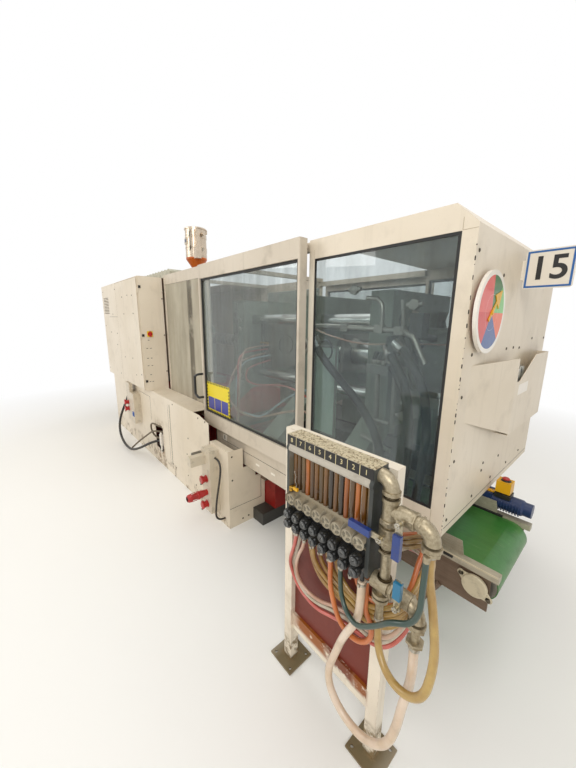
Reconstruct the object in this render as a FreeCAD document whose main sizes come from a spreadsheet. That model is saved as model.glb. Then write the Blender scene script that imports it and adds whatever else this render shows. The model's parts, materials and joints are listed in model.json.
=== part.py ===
import FreeCAD, Part
import math
import os
import re

import Sketcher

# Hydraulic injection moulding machine with its mould water manifold and its take-off conveyor.
# Millimetres, +Z up. X runs along the machine, from the electrical cabinet to the clamp end.
# The origin is on the floor, midway along the machine and midway across its guard housing.
# The injection unit's side and the manifold stand lie toward -Y.

SIZES = {
    # the machine as a whole
    "machine_length": 5200,
    "housing_width": 1500,
    "guard_height": 2190,
    "skin": 4,
    "seat_gap": 0.3,
    "axis_height": 1475,
    # welded bed
    "bed_inset": 40,
    "bed_setback": 10,
    "deck_height": 745,
    "deck_end": 420,
    "shoulder_end": 640,
    "sill_end": 1020,
    "foot_end": 1174,
    "beam_height": 185,
    "sill_drop": 180,
    "plinth_height": 105,
    "sill_near": 593,
    "sill_far": 640,
    "rib_width": 400,
    "rib_pitch": 480,
    "rib_depth": 25,
    # bed cladding
    "ledge_width": 215,
    "ledge_rise": 135,
    "cover_end": 710,
    "ledge_end": 400,
    "corner_drop": 34,
    "corner_run": 185,
    "cable_hole_left": -700,
    "cable_hole_right": -450,
    "cable_hole_bottom": 190,
    "cable_hole_top": 480,
    "block_left": 725,
    "block_end": 1030,
    "block_clear": 55,
    "block_back": 600,
    "rail_clear": 25,
    "step_clear": 15,
    "block_lip": 60,
    "block_notch": 68,
    # clamp base
    "beam_setback": 5,
    "beam_width": 53,
    "beam_far_in": 20,
    "far_setback": 50,
    "beam_start": 430,
    "beam_end": 2526,
    "beam_slope": 146,
    "pedestal_end": 2200,
    "bridge_thick": 40,
    "way_height": 15,
    "way_start": 700,
    "way_end": 1800,
    # gate rails and guard frames
    "rail_overhang": 50,
    "rail_start": 550,
    "rail_drop": 30,
    "guard_left": -700,
    "guard_bar": 45,
    "guard_depth": 12,
    "guard_top": 2220,
    "guard_rise": 105,
    "guard_head": 2115,
    "pane_thick": 6,
    "roof_bar": 40,
    # sliding gates
    "gate_left": 420,
    "gate_right": 1720,
    "gate_lift": 20,
    "gate_thick": 65,
    "gate_gap": 45,
    "gate_window_left": 445,
    "gate_window_right": 1700,
    "gate_sill": 120,
    "gate_window_top": 2075,
    "gate_round": 8,
    "runner_height": 10,
    "grip_left": 368,
    "grip_right": 432,
    "grip_bottom": 1015,
    "grip_top": 1235,
    "grip_rise": 50,
    "grip_radius": 11,
    # clamp housing
    "clamp_left": 1690,
    "chamfer_run": 89,
    "chamfer_drop": 85,
    "clamp_window_left": 1732,
    "clamp_window_right": 2540,
    "clamp_sill": 112,
    "clamp_window_top": 2083,
    # document pocket
    "pocket_start": -640,
    "pocket_fold": -130,
    "pocket_finish": 600,
    "pocket_depth": 60,
    "pocket_bottom": 1110,
    "pocket_top": 1540,
    "pocket_sheet": 3,
    "pocket_rise": 170,
    "notch_low": 1410,
    "notch_left": -100,
    "notch_right": -44,
    "notch_spread": 300,
    # dial and number plate
    "dial_inset": 175,
    "dial_z": 1770,
    "dial_radius": 175,
    "dial_stand": 15,
    "dial_thick": 15,
    "dial_boss": 45,
    "pointer_reach": 140,
    "pointer_thick": 3,
    "sign_y": -90,
    "sign_width": 200,
    "sign_height": 190,
    "sign_bottom": 1900,
    "sign_thick": 3,
    "sign_round": 14,
    # platens and tie bars
    "platen_left": 240,
    "platen_thick": 200,
    "platen_half": 400,
    "platen_rise": 440,
    "foot_setback": 10,
    "foot_width": 80,
    "foot_height": 95,
    "spread_start": 300,
    "far_foot_in": 240,
    "tie_half": 260,
    "tie_radius": 45,
    "tie_play": 0.05,
    "nut_radius": 70,
    "nut_length": 68,
    "nozzle_bore": 90,
    "mould_thick": 180,
    "mould_half": 190,
    "mould_rise": 230,
    "cavity_radius": 100,
    "cavity_depth": 12,
    "clamp_stroke": 400,
    "mould_gap": 0.4,
    "moving_thick": 180,
    "end_platen_left": 1900,
    "end_platen_thick": 160,
    "ram_radius": 100,
    "ram_flange": 118,
    "piston_radius": 150,
    "piston_thick": 60,
    "cylinder_length": 500,
    "cylinder_radius": 215,
    "cylinder_cap": 20,
    "knockout_y": 140,
    "knockout_radius": 14,
    "knockout_plate": 30,
    "knockout_half": 190,
    "knockout_stroke": 60,
    # injection unit
    "screw_radius": 30,
    "screw_play": 0.06,
    "barrel_radius": 55,
    "heater_radius": 74,
    "heater_length": 120,
    "heater_pitch": 150,
    "heater_first": -1100,
    "heaters": 8,
    "nozzle_length": 110,
    "carriage_left": -2250,
    "carriage_right": -1210,
    "carriage_half": 330,
    "carriage_base": 60,
    "slide_height": 35,
    "slide_half": 300,
    "slide_width": 60,
    "feed_left": -1500,
    "feed_half": 170,
    "feed_rise": 190,
    "throat_x": -1380,
    "throat_radius": 35,
    "guide_y": 150,
    "guide_z": 120,
    "guide_radius": 28,
    "guide_end": -2200,
    "drive_plate": 120,
    "drive_half": 220,
    "drive_front": -1740,
    "motor_radius": 140,
    "motor_length": 300,
    # material loader
    "loader_radius": 145,
    "loader_height": 395,
    "loader_top": 2985,
    "loader_bead": 5,
    "lid_height": 22,
    "cone_height": 170,
    "cone_neck": 45,
    "hopper_wall": 4,
    "inlet_drop": 105,
    "inlet_radius": 22,
    "inlet_neck": 10,
    "inlet_step": 2,
    "column_width": 60,
    "column_inset": 25,
    "column_gap": 8,
    "control_reach": 72,
    "control_drop": 30,
    "control_rise": 120,
    "inlet_length": 110,
    # rear housing and the ribbed cover on its roof
    "rear_top": 2200,
    "roof_slot_left": -1700,
    "roof_slot_half": 120,
    "duct_left": -2100,
    "duct_right": -1050,
    "duct_front": -520,
    "duct_back": -300,
    "duct_height": 190,
    "duct_ribs": 9,
    # electrical cabinet
    "cabinet_right": -750,
    "cabinet_depth": 268,
    "cabinet_gap": 2,
    "door_left": -1700,
    "door_edge": 12,
    "door_thick": 18,
    "louvre_left": -2530,
    "louvre_width": 320,
    "louvre_bottom": 1800,
    "louvre_gap": 8,
    "louvre_pitch": 22,
    "hinge_radius": 9,
    "hinge_height": 60,
    "switch_inset": 90,
    "switch_z": 1555,
    "switch_radius": 26,
    "switch_reach": 34,
    # socket boxes
    "outlet_depth": 85,
    "first_box_left": -1555,
    "first_box_right": -1244,
    "first_box_bottom": 347,
    "first_box_top": 757,
    "second_box_left": 731,
    "second_box_right": 878,
    "second_box_bottom": 98,
    "second_box_top": 666,
    "socket_radius": 29,
    "socket_reach": 48,
    "plug_radius": 33,
    "plug_reach": 130,
    # control panel on the operator's side
    "panel_left": -1200,
    "panel_right": -780,
    "panel_bottom": 1230,
    "panel_top": 1760,
    "panel_depth": 90,
    # manifold stand
    "stand_y": -1240,
    "post_left": 2110,
    "post_right": 2605,
    "post_side": 50,
    "post_wall": 3,
    "stand_top": 1262,
    "bar_bottom": 200,
    "bar_height": 90,
    "foot_side": 150,
    "foot_thick": 10,
    "foot_hole": 7,
    "foot_spacing": 110,
    "sheet_top": 900,
    # water manifold
    "manifold_left": 2190,
    "manifold_width": 410,
    "manifold_face": 1350,
    "manifold_depth": 78,
    "manifold_top": 1281,
    "manifold_head": 56,
    "roll_radius": 15.5,
    "roll_proud": 5,
    "roll_drop": 2,
    "circuits": 8,
    "circuit_pitch": 48,
    "end_post": 14,
    "tube_radius": 10,
    "tube_play": 0.05,
    "tube_split": 22,
    "bottle_top": 1045,
    "bottle_bottom": 973,
    "bottle_radius": 23.5,
    "bottle_proud": 12,
    "bracket_drop": 20,
    "port_drop": 36,
    "port_length": 17,
    "knob_radius": 21,
    "knob_length": 32,
    "knob_stand": 4,
    "knob_grooves": 10,
    "knob_drop": 45,
    "knob_edge": 20,
    "spout_radius": 8,
    "spout_length": 45,
    "spout_front": 25,
    "spout_back": 30,
    # galvanised pipework at the manifold's end
    "pipe_radius": 21,
    "bead_radius": 28,
    "bead_width": 12,
    "feed_hose_radius": 17,
    "tail_drop": 84,
    "port_radius": 10,
    "port_reach": 29,
    "elbow_bend": 40,
    "pipe_y": -1311,
    "tee_z": 1150,
    "branch_end": 2748,
    "valve_z": 1068,
    "valve_radius": 31,
    "valve_half": 25,
    "valve_space": 39,
    "valve_reach": 70,
    "tee_length": 60,
    "tee_wall": 4,
    "lower_z": 872,
    "lower_valve_x": 2712,
    "lower_end": 2730,
    "tail_radius": 14,
    "drop_length": 150,
    "drop_offset": 30,
    "drop_lap": 2,
    "lever_width": 22,
    "lever_thick": 5,
    "lever_reach": 118,
    # take-off conveyor
    "belt_clear": 60,
    "belt_far": -130,
    "belt_rise": 60,
    "belt_thick": 4,
    "roller_radius": 80,
    "roller_play": 0.3,
    "roller_left": 790,
    "roller_right": 2742,
    "shaft_radius": 15,
    "side_thick": 8,
    "side_height": 190,
    "side_profile": 42,
    "side_left": 720,
    "side_right": 2800,
    "fence_clear": 43,
    "fence_end": 2672,
    "cap_radius": 52,
    "cap_thick": 16,
    "leg_radius": 14,
    "shoe_inset": 40,
    "leg_foot": 2380,
    "leg_head": 2590,
    "motor_gear": 90,
    "gearmotor_radius": 46,
    "gearmotor_length": 190,
    "gearmotor_drop": 55,
    "gearmotor_x": 2630,
    "stop_x": 2640,
    "stop_y": -118,
    "stop_lift": 15,
    "stop_side": 74,
    "stop_height": 66,
    "button_radius": 19,
    "button_height": 26,
    "button_well": 20,
    "stop_strap": 8,
    "button_travel": 5,
}

# sizes that follow another one, by a named clearance
TIES = {
    "gate_back": "housing_width / 2 + gate_gap",
    "gate_face": "gate_back + gate_thick",
    "rail_out": "housing_width / 2 + rail_overhang",
    "bed_half": "housing_width / 2 - bed_setback",
    "bed_front": "housing_width / 2 + ledge_width",
    "beam_near_out": "housing_width / 2 - beam_setback",
    "beam_near_in": "beam_near_out - beam_width",
    "foot_spread": "beam_near_out - foot_setback",
    "beam_far_out": "housing_width / 2 - far_setback",
    "cabinet_back": "housing_width / 2 + cabinet_gap",
    "cabinet_face": "cabinet_back + cabinet_depth",
    "outlet_face": "bed_front + outlet_depth",
    "block_step": "rail_out + rail_clear",
    "belt_near": "belt_clear - beam_near_in",
    "switch_y": "switch_inset - cabinet_face",
    "loader_bottom": "loader_top - loader_height",
    "cone_bottom": "loader_bottom - cone_height",
    "inlet_z": "loader_top - inlet_drop",
    "gate_bottom": "deck_height + gate_lift",
    "gate_window_bottom": "gate_bottom + gate_sill",
    "beam_bottom": "deck_height - beam_height",
    "sill_height": "beam_bottom - sill_drop",
    "rail_bottom": "beam_bottom - rail_drop",
    "guard_sill": "deck_height + guard_rise",
    "bed_top": "deck_height + ledge_rise",
    "clamp_window_bottom": "deck_height + clamp_sill",
    "block_height": "deck_height - block_clear",
    "block_step_height": "rail_bottom - step_clear",
    "belt_top": "beam_bottom + belt_rise",
    "fence_top": "deck_height - fence_clear",
    "side_bottom": "belt_top - side_height",
    "gearmotor_z": "deck_height - gearmotor_drop",
    "stop_z": "deck_height + stop_lift",
    "manifold_right": "manifold_left + manifold_width",
    "branch_tail_z": "tee_z - tail_drop",
    "dial_y": "dial_inset - housing_width / 2",
}

LEFT = "-machine_length / 2"
RIGHT = "machine_length / 2"
FRONT = "-housing_width / 2"
BACK = "housing_width / 2"
PIPE_X = "manifold_right + elbow_bend"
BRANCH_X = "(branch_end - bead_width - valve_space)"
RAIL_BOTTOM = "(bottle_bottom - 2 * knob_edge - knob_drop)"
STEM = "(valve_radius + 12)"
ROLL_Y = "(-manifold_face + roll_radius - roll_proud)"
ROLL_Z = "(manifold_top - manifold_head - roll_drop)"
OPEN_LEFT = "platen_left + platen_thick + mould_thick + mould_gap + clamp_stroke"
MOVING_LEFT = f"{OPEN_LEFT} + mould_thick"
MOVING_BACK = f"{MOVING_LEFT} + moving_thick"
WORD = re.compile(r"[a-z][a-z_]*")
TURNS = {
    "x": FreeCAD.Rotation(FreeCAD.Vector(0, 1, 0), 90),
    "y": FreeCAD.Rotation(FreeCAD.Vector(1, 0, 0), -90),
    "z": FreeCAD.Rotation(),
}

doc = FreeCAD.newDocument("moulding_machine")
sheet = doc.addObject("Spreadsheet::Sheet", "sizes")
CELLS = SIZES | {word: f"={text}" for word, text in TIES.items()}
for row, (word, value) in enumerate(CELLS.items(), 1):
    sheet.set(f"A{row}", word)
    sheet.set(f"B{row}", str(value))
    sheet.setAlias(f"B{row}", word)
doc.recompute()
nodes = []


def size(word):
    """Read one size from the sheet."""
    return float(sheet.get(word))


def bind(item, field, text):
    """Tie one field of an item to the sheet's cells named in the text."""
    item.setExpression(field, WORD.sub(lambda found: cell_name(found.group()), str(text)))


def cell_name(word):
    """A size's full name in an expression; any other word stays as it is."""
    return f"sizes.{word}" if word in CELLS else word


def move(item, x="0", y="0", z="0"):
    """Tie an item's place to the sheet."""
    for letter, text in zip("xyz", (x, y, z)):
        bind(item, f"Placement.Base.{letter}", text)
    return item


def box(label, xs, ys, zs):
    """A block between two bounds along each axis."""
    item = doc.addObject("Part::Box", label)
    for field, (low, high) in zip(("Length", "Width", "Height"), (xs, ys, zs)):
        bind(item, field, f"({high}) - ({low})")
    return move(item, xs[0], ys[0], zs[0])


def rod(label, start, radius, length, axis="x"):
    """A cylinder from its start point along one axis."""
    item = doc.addObject("Part::Cylinder", label)
    item.Placement = FreeCAD.Placement(FreeCAD.Vector(), TURNS[axis])
    bind(item, "Radius", radius)
    bind(item, "Height", length)
    return move(item, *start)


def cone(label, start, radii, length, axis="z"):
    """A cone from its start point along one axis."""
    item = doc.addObject("Part::Cone", label)
    item.Placement = FreeCAD.Placement(FreeCAD.Vector(), TURNS[axis])
    bind(item, "Radius1", radii[0])
    bind(item, "Radius2", radii[1])
    bind(item, "Height", length)
    return move(item, *start)


def join(label, items):
    """One solid piece from several touching ones."""
    whole = doc.addObject("Part::MultiFuse", label)
    whole.Shapes = items
    whole.Refine = True
    return whole


def cut(label, base, tools):
    """A piece less one or more tools."""
    rest = doc.addObject("Part::Cut", label)
    rest.Base = base
    rest.Tool = tools[0] if len(tools) == 1 else join(f"{label}_tools", tools)
    rest.Refine = True
    return rest


def mirror(label, item):
    """The same piece on the machine's other side."""
    twin = doc.addObject("Part::Mirroring", label)
    twin.Source = item
    twin.Base = FreeCAD.Vector()
    twin.Normal = FreeCAD.Vector(0, 1, 0)
    return twin


def keep(item, name):
    """Mark a finished sub-part, whose label names its file."""
    item.Label = name
    nodes.append(item)
    return item


def origin_plane(body, role):
    """One of a body's own origin planes or axes."""
    return [item for item in body.Origin.OriginFeatures if item.Role == role][0]


def draw(body, plane, name, loops):
    """A sketch of closed loops: corner lists, or (centre, radius) circles, all tied to the sheet."""
    sketch = body.newObject("Sketcher::SketchObject", name)
    sketch.AttachmentSupport = (origin_plane(body, plane), [""])
    sketch.MapMode = "FlatFace"
    for loop in loops:
        if isinstance(loop, tuple):
            draw_circle(sketch, *loop)
        else:
            draw_corners(sketch, loop)
    return sketch


def draw_circle(sketch, centre, radius):
    """One circle of a sketch."""
    ring = sketch.addGeometry(Part.Circle(FreeCAD.Vector(), FreeCAD.Vector(0, 0, 1), 10), False)
    tie_point(sketch, ring, 3, centre)
    width = sketch.addConstraint(Sketcher.Constraint("Radius", ring, 10))
    bind(sketch, f"Constraints[{width}]", radius)


def draw_corners(sketch, corners):
    """One closed polygon of a sketch, begun as a regular one so that no side starts at zero."""
    count = len(corners)
    first = sketch.GeometryCount
    angle = 2 * math.pi / count
    wide = size("skin") * count
    start = [
        FreeCAD.Vector(wide * math.cos(i * angle), wide * math.sin(i * angle), 0) for i in range(count)
    ]
    for i in range(count):
        sketch.addGeometry(Part.LineSegment(start[i], start[(i + 1) % count]), False)
    for i in range(count):
        following = first + (i + 1) % count
        sketch.addConstraint(Sketcher.Constraint("Coincident", first + i, 2, following, 1))
    for i, corner in enumerate(corners):
        tie_point(sketch, first + i, 1, corner)


def tie_point(sketch, shape, point, place):
    """Hold one point of a sketch at a place worked out from the sheet."""
    for kind, text in zip(("DistanceX", "DistanceY"), place):
        held = sketch.addConstraint(Sketcher.Constraint(kind, -1, 1, shape, point, 1.0))
        bind(sketch, f"Constraints[{held}]", text)


def plate(label, plane, loops, low, high):
    """A profile with its holes, raised between two bounds along the plane's own axis."""
    body = doc.addObject("PartDesign::Body", label)
    pad = body.newObject("PartDesign::Pad", f"{label}_pad")
    pad.Profile = draw(body, f"{plane}_Plane", f"{label}_profile", loops)
    bind(pad, "Length", f"({high}) - ({low})")
    if plane == "XZ":
        move(body, y=high)
    elif plane == "YZ":
        move(body, x=low)
    else:
        move(body, z=low)
    return body


def bore(body, name, plane, loops, depth, reverse=True):
    """Cut a profile into a body from its sketch plane."""
    pocket = body.newObject("PartDesign::Pocket", name)
    pocket.Profile = draw(body, f"{plane}_Plane", f"{name}_profile", loops)
    bind(pocket, "Length", depth)
    pocket.Reversed = reverse
    return pocket


def turned(label, corners, axis="z", place=("0", "0", "0")):
    """A profile of (radius, distance) corners turned about its axis."""
    body = doc.addObject("PartDesign::Body", label)
    body.Placement = FreeCAD.Placement(FreeCAD.Vector(), TURNS[axis])
    turn = body.newObject("PartDesign::Revolution", f"{label}_turn")
    sketch = draw(body, "XZ_Plane", f"{label}_profile", [corners])
    turn.Profile = sketch
    turn.ReferenceAxis = (sketch, ["V_Axis"])
    turn.Angle = 360
    move(body, *place)
    return body


def rectangle(left, right, bottom, top):
    """Four corners of a rectangle."""
    return [(left, bottom), (right, bottom), (right, top), (left, top)]


def hexagon(x, y, radius):
    """Six corners of a nut's outline."""
    low = f"{radius} * 0.866"
    half = f"{radius} / 2"
    return [
        (f"{x} + {radius}", y),
        (f"{x} + {half}", f"{y} + {low}"),
        (f"{x} - {half}", f"{y} + {low}"),
        (f"{x} - {radius}", y),
        (f"{x} - {half}", f"{y} - {low}"),
        (f"{x} + {half}", f"{y} - {low}"),
    ]


def soften(body, radius, along):
    """Round a body's long edges that run along one direction."""
    doc.recompute()
    base = body.Tip
    names = []
    for number, edge in enumerate(base.Shape.Edges, 1):
        straight = isinstance(edge.Curve, Part.Line)
        if straight and abs(edge.Curve.Direction.dot(along)) > 0.999:
            names.append(f"Edge{number}")
    fillet = body.newObject("PartDesign::Fillet", f"{body.Name}_round")
    fillet.Base = (base, names)
    bind(fillet, "Radius", radius)
    return body


# ---------------------------------------------------------------- bed and base


def make_bed():
    """The welded bed: a closed tank under the injection unit, stepped down at the take-off side."""
    outline = [
        (f"{LEFT} + bed_inset", "0"),
        ("sill_end", "0"),
        ("sill_end", "sill_height"),
        ("shoulder_end", "sill_height"),
        ("shoulder_end", "beam_bottom"),
        ("deck_end", "beam_bottom"),
        ("deck_end", "deck_height"),
        (f"{LEFT} + bed_inset", "deck_height"),
    ]
    bed = plate("bed_tank", "XZ", [outline], "-bed_half", "bed_half")
    recess = bore(
        bed,
        "bed_recess",
        "XZ",
        [rectangle("deck_end - rib_width", "deck_end", "bed_inset * 2", "beam_bottom")],
        "2 * bed_half",
        False,
    )
    near = box(
        "bed_recess_keep",
        (f"{LEFT}", "sill_end"),
        ("-bed_half + rib_depth", "bed_half"),
        ("0", "beam_bottom"),
    )
    pattern = bed.newObject("PartDesign::LinearPattern", "bed_recesses")
    pattern.Originals = [recess]
    pattern.Direction = (recess.Profile[0], ["H_Axis"])
    pattern.Reversed = True
    bind(pattern, "Length", "rib_pitch * 5")
    pattern.Occurrences = 6
    bed.Tip = pattern
    filling = cut("bed_filling", near, [box_right_of_shoulder()])
    end_sill = box(
        "bed_end_sill",
        ("sill_end", "foot_end"),
        ("-sill_near", "sill_far"),
        ("plinth_height", "sill_height"),
    )
    far = box(
        "bed_far_shoulder",
        ("shoulder_end", "foot_end"),
        ("beam_far_in", "sill_far"),
        ("sill_height", "beam_bottom"),
    )
    keep(join("bed_whole", [bed, filling, end_sill, far]), "bed_frame")


def box_right_of_shoulder():
    """The space over the low sill, and the bed's own inset at its left end."""
    over = box(
        "bed_over_sill",
        ("shoulder_end", "sill_end + 1"),
        ("-bed_half", "bed_half + 1"),
        ("sill_height", "beam_bottom + 1"),
    )
    left = box(
        "bed_left_inset",
        (f"{LEFT} - 1", f"{LEFT} + bed_inset"),
        ("-bed_half", "bed_half + 1"),
        ("-1", "beam_bottom + 1"),
    )
    return join("bed_spaces", [over, left])


def make_cladding():
    """Sheet covers round the bed: front with its cable hole and ledge, left end and back."""
    outline = [
        (LEFT, "0"),
        ("cover_end", "0"),
        ("cover_end", "bed_top - corner_drop"),
        ("cover_end - corner_run", "bed_top"),
        (LEFT, "bed_top"),
    ]
    hole = rectangle("cable_hole_left", "cable_hole_right", "cable_hole_bottom", "cable_hole_top")
    front = plate("cover_front", "XZ", [outline, hole], "-bed_front", "-bed_front + skin")
    inner = "-bed_front + skin"
    ledge = box(
        "cover_ledge",
        (LEFT, "ledge_end"),
        (inner, f"{FRONT} - 2"),
        ("bed_top - skin", "bed_top"),
    )
    end = box("cover_end_sheet", (LEFT, f"{LEFT} + skin"), (inner, f"{BACK} - skin"), ("0", "bed_top"))
    stepped = [
        (LEFT, "0"),
        ("cover_end", "0"),
        ("cover_end", "rail_bottom - seat_gap"),
        ("rail_start - seat_gap", "rail_bottom - seat_gap"),
        ("rail_start - seat_gap", "deck_height - skin"),
        (LEFT, "deck_height - skin"),
    ]
    back = plate("cover_back", "XZ", [stepped], f"{BACK} - skin", BACK)
    lip = box(
        "cover_lip",
        ("cover_end - skin", "cover_end"),
        (inner, f"{inner} + block_lip"),
        ("0", "beam_bottom"),
    )
    keep(join("cover_whole", [front, ledge, end, back, lip]), "bed_cover")


def make_end_block():
    """The folded end cover in front of the sill, open behind and stepped under the gate rail."""
    front = box(
        "block_front",
        ("block_left", "block_end"),
        ("-bed_front", "-bed_front + skin"),
        ("0", "block_height"),
    )
    outline = [
        ("-bed_front + skin", "0"),
        ("-block_back", "0"),
        ("-block_back", "side_bottom - rail_clear"),
        ("belt_near - block_notch", "side_bottom - rail_clear"),
        ("belt_near - block_notch", "block_step_height"),
        ("-block_step", "block_step_height"),
        ("-block_step", "block_height"),
        ("-bed_front + skin", "block_height"),
    ]
    side = plate("block_side", "YZ", [outline], "block_end - skin", "block_end")
    lip = box(
        "block_top",
        ("block_left", "block_end - skin"),
        ("-bed_front + skin", "-bed_front + block_lip"),
        ("block_height - skin", "block_height"),
    )
    keep(join("block_whole", [front, side, lip]), "base_block")


def make_clamp_base():
    """Low foot, rear pedestal and the two beams that carry the clamp over the conveyor."""
    plinth = box(
        "clamp_plinth",
        ("block_end", "foot_end"),
        ("-sill_far - 87", "beam_far_out"),
        ("0", "plinth_height"),
    )
    pedestal = box(
        "clamp_pedestal",
        ("foot_end", "pedestal_end"),
        ("beam_far_in", "beam_far_out"),
        ("0", "beam_bottom"),
    )
    outline = [
        ("beam_start", "beam_bottom"),
        ("beam_end - beam_slope", "beam_bottom"),
        ("beam_end", "beam_bottom + beam_slope"),
        ("beam_end", "deck_height"),
        ("beam_start", "deck_height"),
    ]
    near = plate("clamp_beam_near", "XZ", [outline], "-beam_near_out", "-beam_near_in")
    far = plate("clamp_beam_far", "XZ", [outline], "beam_far_in", "beam_far_out")
    items = [plinth, pedestal, near, far]
    spans = {
        "fixed": ("beam_start", "shoulder_end"),
        "end": ("end_platen_left", "end_platen_left + end_platen_thick"),
    }
    for name, span in spans.items():
        heights = ("deck_height - bridge_thick", "deck_height")
        items.append(box(f"clamp_bridge_{name}", span, ("-beam_near_in", "beam_far_in"), heights))
    ways = {"near": ("-foot_spread", "-beam_near_in"), "far": ("far_foot_in", "platen_half")}
    for name, ys in ways.items():
        items.append(
            box(
                f"clamp_way_{name}",
                ("way_start", "way_end"),
                ys,
                ("deck_height", "deck_height + way_height"),
            )
        )
    keep(join("clamp_base_whole", items), "clamp_base")


# ---------------------------------------------------------------- guards and gates


def make_guard_frames():
    """Fixed guard frames: injection covers on both sides, roof bars, gate rails below and above."""
    near = plate(
        "guard_side",
        "XZ",
        [
            rectangle("guard_left", "deck_end", "deck_height", "guard_top"),
            rectangle("guard_left + guard_bar", "deck_end - guard_bar", "guard_sill", "guard_head"),
        ],
        FRONT,
        f"{FRONT} + guard_depth",
    )
    soften(near, "guard_depth / 3", FreeCAD.Vector(0, 0, 1))
    top_rail = box(
        "gate_top_rail",
        ("deck_end - roof_bar", "clamp_left"),
        (FRONT, f"{FRONT} + roof_bar"),
        ("guard_height - roof_bar - runner_height * 2", "guard_height - runner_height"),
    )
    rail = make_gate_rail()
    side = join("guard_side_near", [near, top_rail, rail])
    bars = []
    for name, start in {"left": "guard_left", "right": "deck_end - roof_bar"}.items():
        bars.append(
            box(
                f"roof_bar_{name}",
                (start, f"{start} + roof_bar"),
                (f"{FRONT} + guard_depth", f"{BACK} - guard_depth"),
                ("guard_top - roof_bar", "guard_top"),
            )
        )
    keep(join("guard_whole", [side, mirror("guard_side_far", side)] + bars), "guard_frames")


def make_gate_rail():
    """The channel that the gate runs on, open toward the machine, its far end cut on a slope."""
    outline = [
        ("rail_start", "rail_bottom"),
        ("beam_end - beam_slope", "rail_bottom"),
        ("beam_end", "rail_bottom + beam_slope"),
        ("beam_end", "deck_height"),
        ("rail_start", "deck_height"),
    ]
    inside = [
        ("rail_start - 1", "rail_bottom + skin"),
        ("beam_end - beam_slope - skin", "rail_bottom + skin"),
        ("beam_end - skin", "rail_bottom + beam_slope"),
        ("beam_end - skin", "deck_height - skin"),
        ("rail_start - 1", "deck_height - skin"),
    ]
    whole = plate("gate_rail_block", "XZ", [outline], "-rail_out", "-beam_near_out")
    hollow = plate("gate_rail_hollow", "XZ", [inside], "-rail_out + skin", "-beam_near_out + 1")
    return cut("gate_rail", whole, [hollow])


def make_gates():
    """The sliding gates, near and far, with their clear panes, runners and grip."""
    frame = plate(
        "gate_panel",
        "XZ",
        [
            rectangle("gate_left", "gate_right", "gate_bottom", "guard_height"),
            rectangle("gate_window_left", "gate_window_right", "gate_window_bottom", "gate_window_top"),
        ],
        "-gate_face",
        "-gate_back",
    )
    soften(frame, "gate_round", FreeCAD.Vector(0, 0, 1))
    runners = []
    heights = {
        "low": ("deck_height + seat_gap", "deck_height + seat_gap + 4 * runner_height"),
        "high": ("guard_height - 4 * runner_height", "guard_height - 2 * runner_height"),
    }
    for name, zs in heights.items():
        runners.append(
            box(
                f"gate_runner_{name}",
                ("gate_left + guard_bar", "gate_right - guard_bar"),
                ("-gate_back", f"{FRONT} - seat_gap"),
                zs,
            )
        )
    gate = join("gate_near", [frame, grip("gate_grip")] + runners)
    keep(gate, "gate_front")
    pane = box(
        "gate_pane",
        ("gate_window_left", "gate_window_right"),
        ("-gate_face + 25", "-gate_face + 25 + pane_thick"),
        ("gate_window_bottom", "gate_window_top"),
    )
    keep(pane, "gate_front_window")
    keep(mirror("gate_far", gate), "gate_rear")
    keep(mirror("gate_far_pane", pane), "gate_rear_window")


def grip(label):
    """A bow grip at the gate's edge, swept along its bent outline."""
    face = -size("gate_face")
    out = face - size("grip_rise")
    left, right = size("grip_left"), size("grip_right")
    low, high = size("grip_bottom"), size("grip_top")
    slope = size("grip_rise") / 2
    points = [
        (right, face, high),
        (right, out, high),
        (left, out, high - slope),
        (left, out, low + slope),
        (right, out, low),
        (right, face, low),
    ]
    return tube(label, points, size("grip_radius"), bend=1.6)


def tube(label, points, radius, bend=None):
    """A round tube along straight runs joined by tangent arcs."""
    item = doc.addObject("Part::Feature", label)
    path, radii = route([FreeCAD.Vector(*point) for point in points], bend and bend * radius)
    start = FreeCAD.Vector(*points[0])
    heading = FreeCAD.Vector(*points[1]) - start
    ring = Part.Wire([Part.makeCircle(radius, start, heading)])
    item.Shape = path.makePipeShell([ring], True, False)
    item.Placement = FreeCAD.Placement()
    expected = math.pi * radius**2 * path.Length
    print(f"{label}: radii {[round(r) for r in radii]}, volume ratio {item.Shape.Volume / expected:.3f}")
    return item


def route(points, bend=None):
    """Straight runs and tangent arcs through a route, each arc as large as its runs allow."""
    edges = []
    radii = []
    last = points[0]
    for before, corner, after in zip(points, points[1:], points[2:]):
        incoming = corner - before
        outgoing = after - corner
        share = 0.45 * min(incoming.Length, outgoing.Length)
        turn = incoming.getAngle(outgoing)
        if bend:
            share = min(share, bend * math.tan(turn / 2))
        incoming.normalize()
        outgoing.normalize()
        start = corner - incoming * share
        finish = corner + outgoing * share
        radius = share / math.tan(turn / 2)
        inward = (outgoing - incoming).normalize()
        centre = corner + inward * math.hypot(share, radius)
        middle = centre - inward * radius
        edges.append(Part.LineSegment(last, start).toShape())
        edges.append(Part.Arc(start, middle, finish).toShape())
        radii.append(radius)
        last = finish
    edges.append(Part.LineSegment(last, points[-1]).toShape())
    return Part.Wire(edges), radii


def make_panes():
    """The clear fixed panes of the injection covers and of the clamp housing."""
    cover = box(
        "cover_pane",
        ("guard_left + guard_bar", "deck_end - guard_bar"),
        (f"{FRONT} + guard_depth / 4", f"{FRONT} + guard_depth / 4 + pane_thick"),
        ("guard_sill", "guard_head"),
    )
    clamp = box(
        "clamp_pane",
        ("clamp_window_left - 12", "clamp_window_right + 12"),
        (f"{FRONT} + skin", f"{FRONT} + skin + pane_thick"),
        ("clamp_window_bottom - 12", "clamp_window_top + 12"),
    )
    pairs = [cover, clamp, mirror("cover_pane_far", cover), mirror("clamp_pane_far", clamp)]
    keep(join("pane_set", pairs), "fixed_windows")


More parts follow.
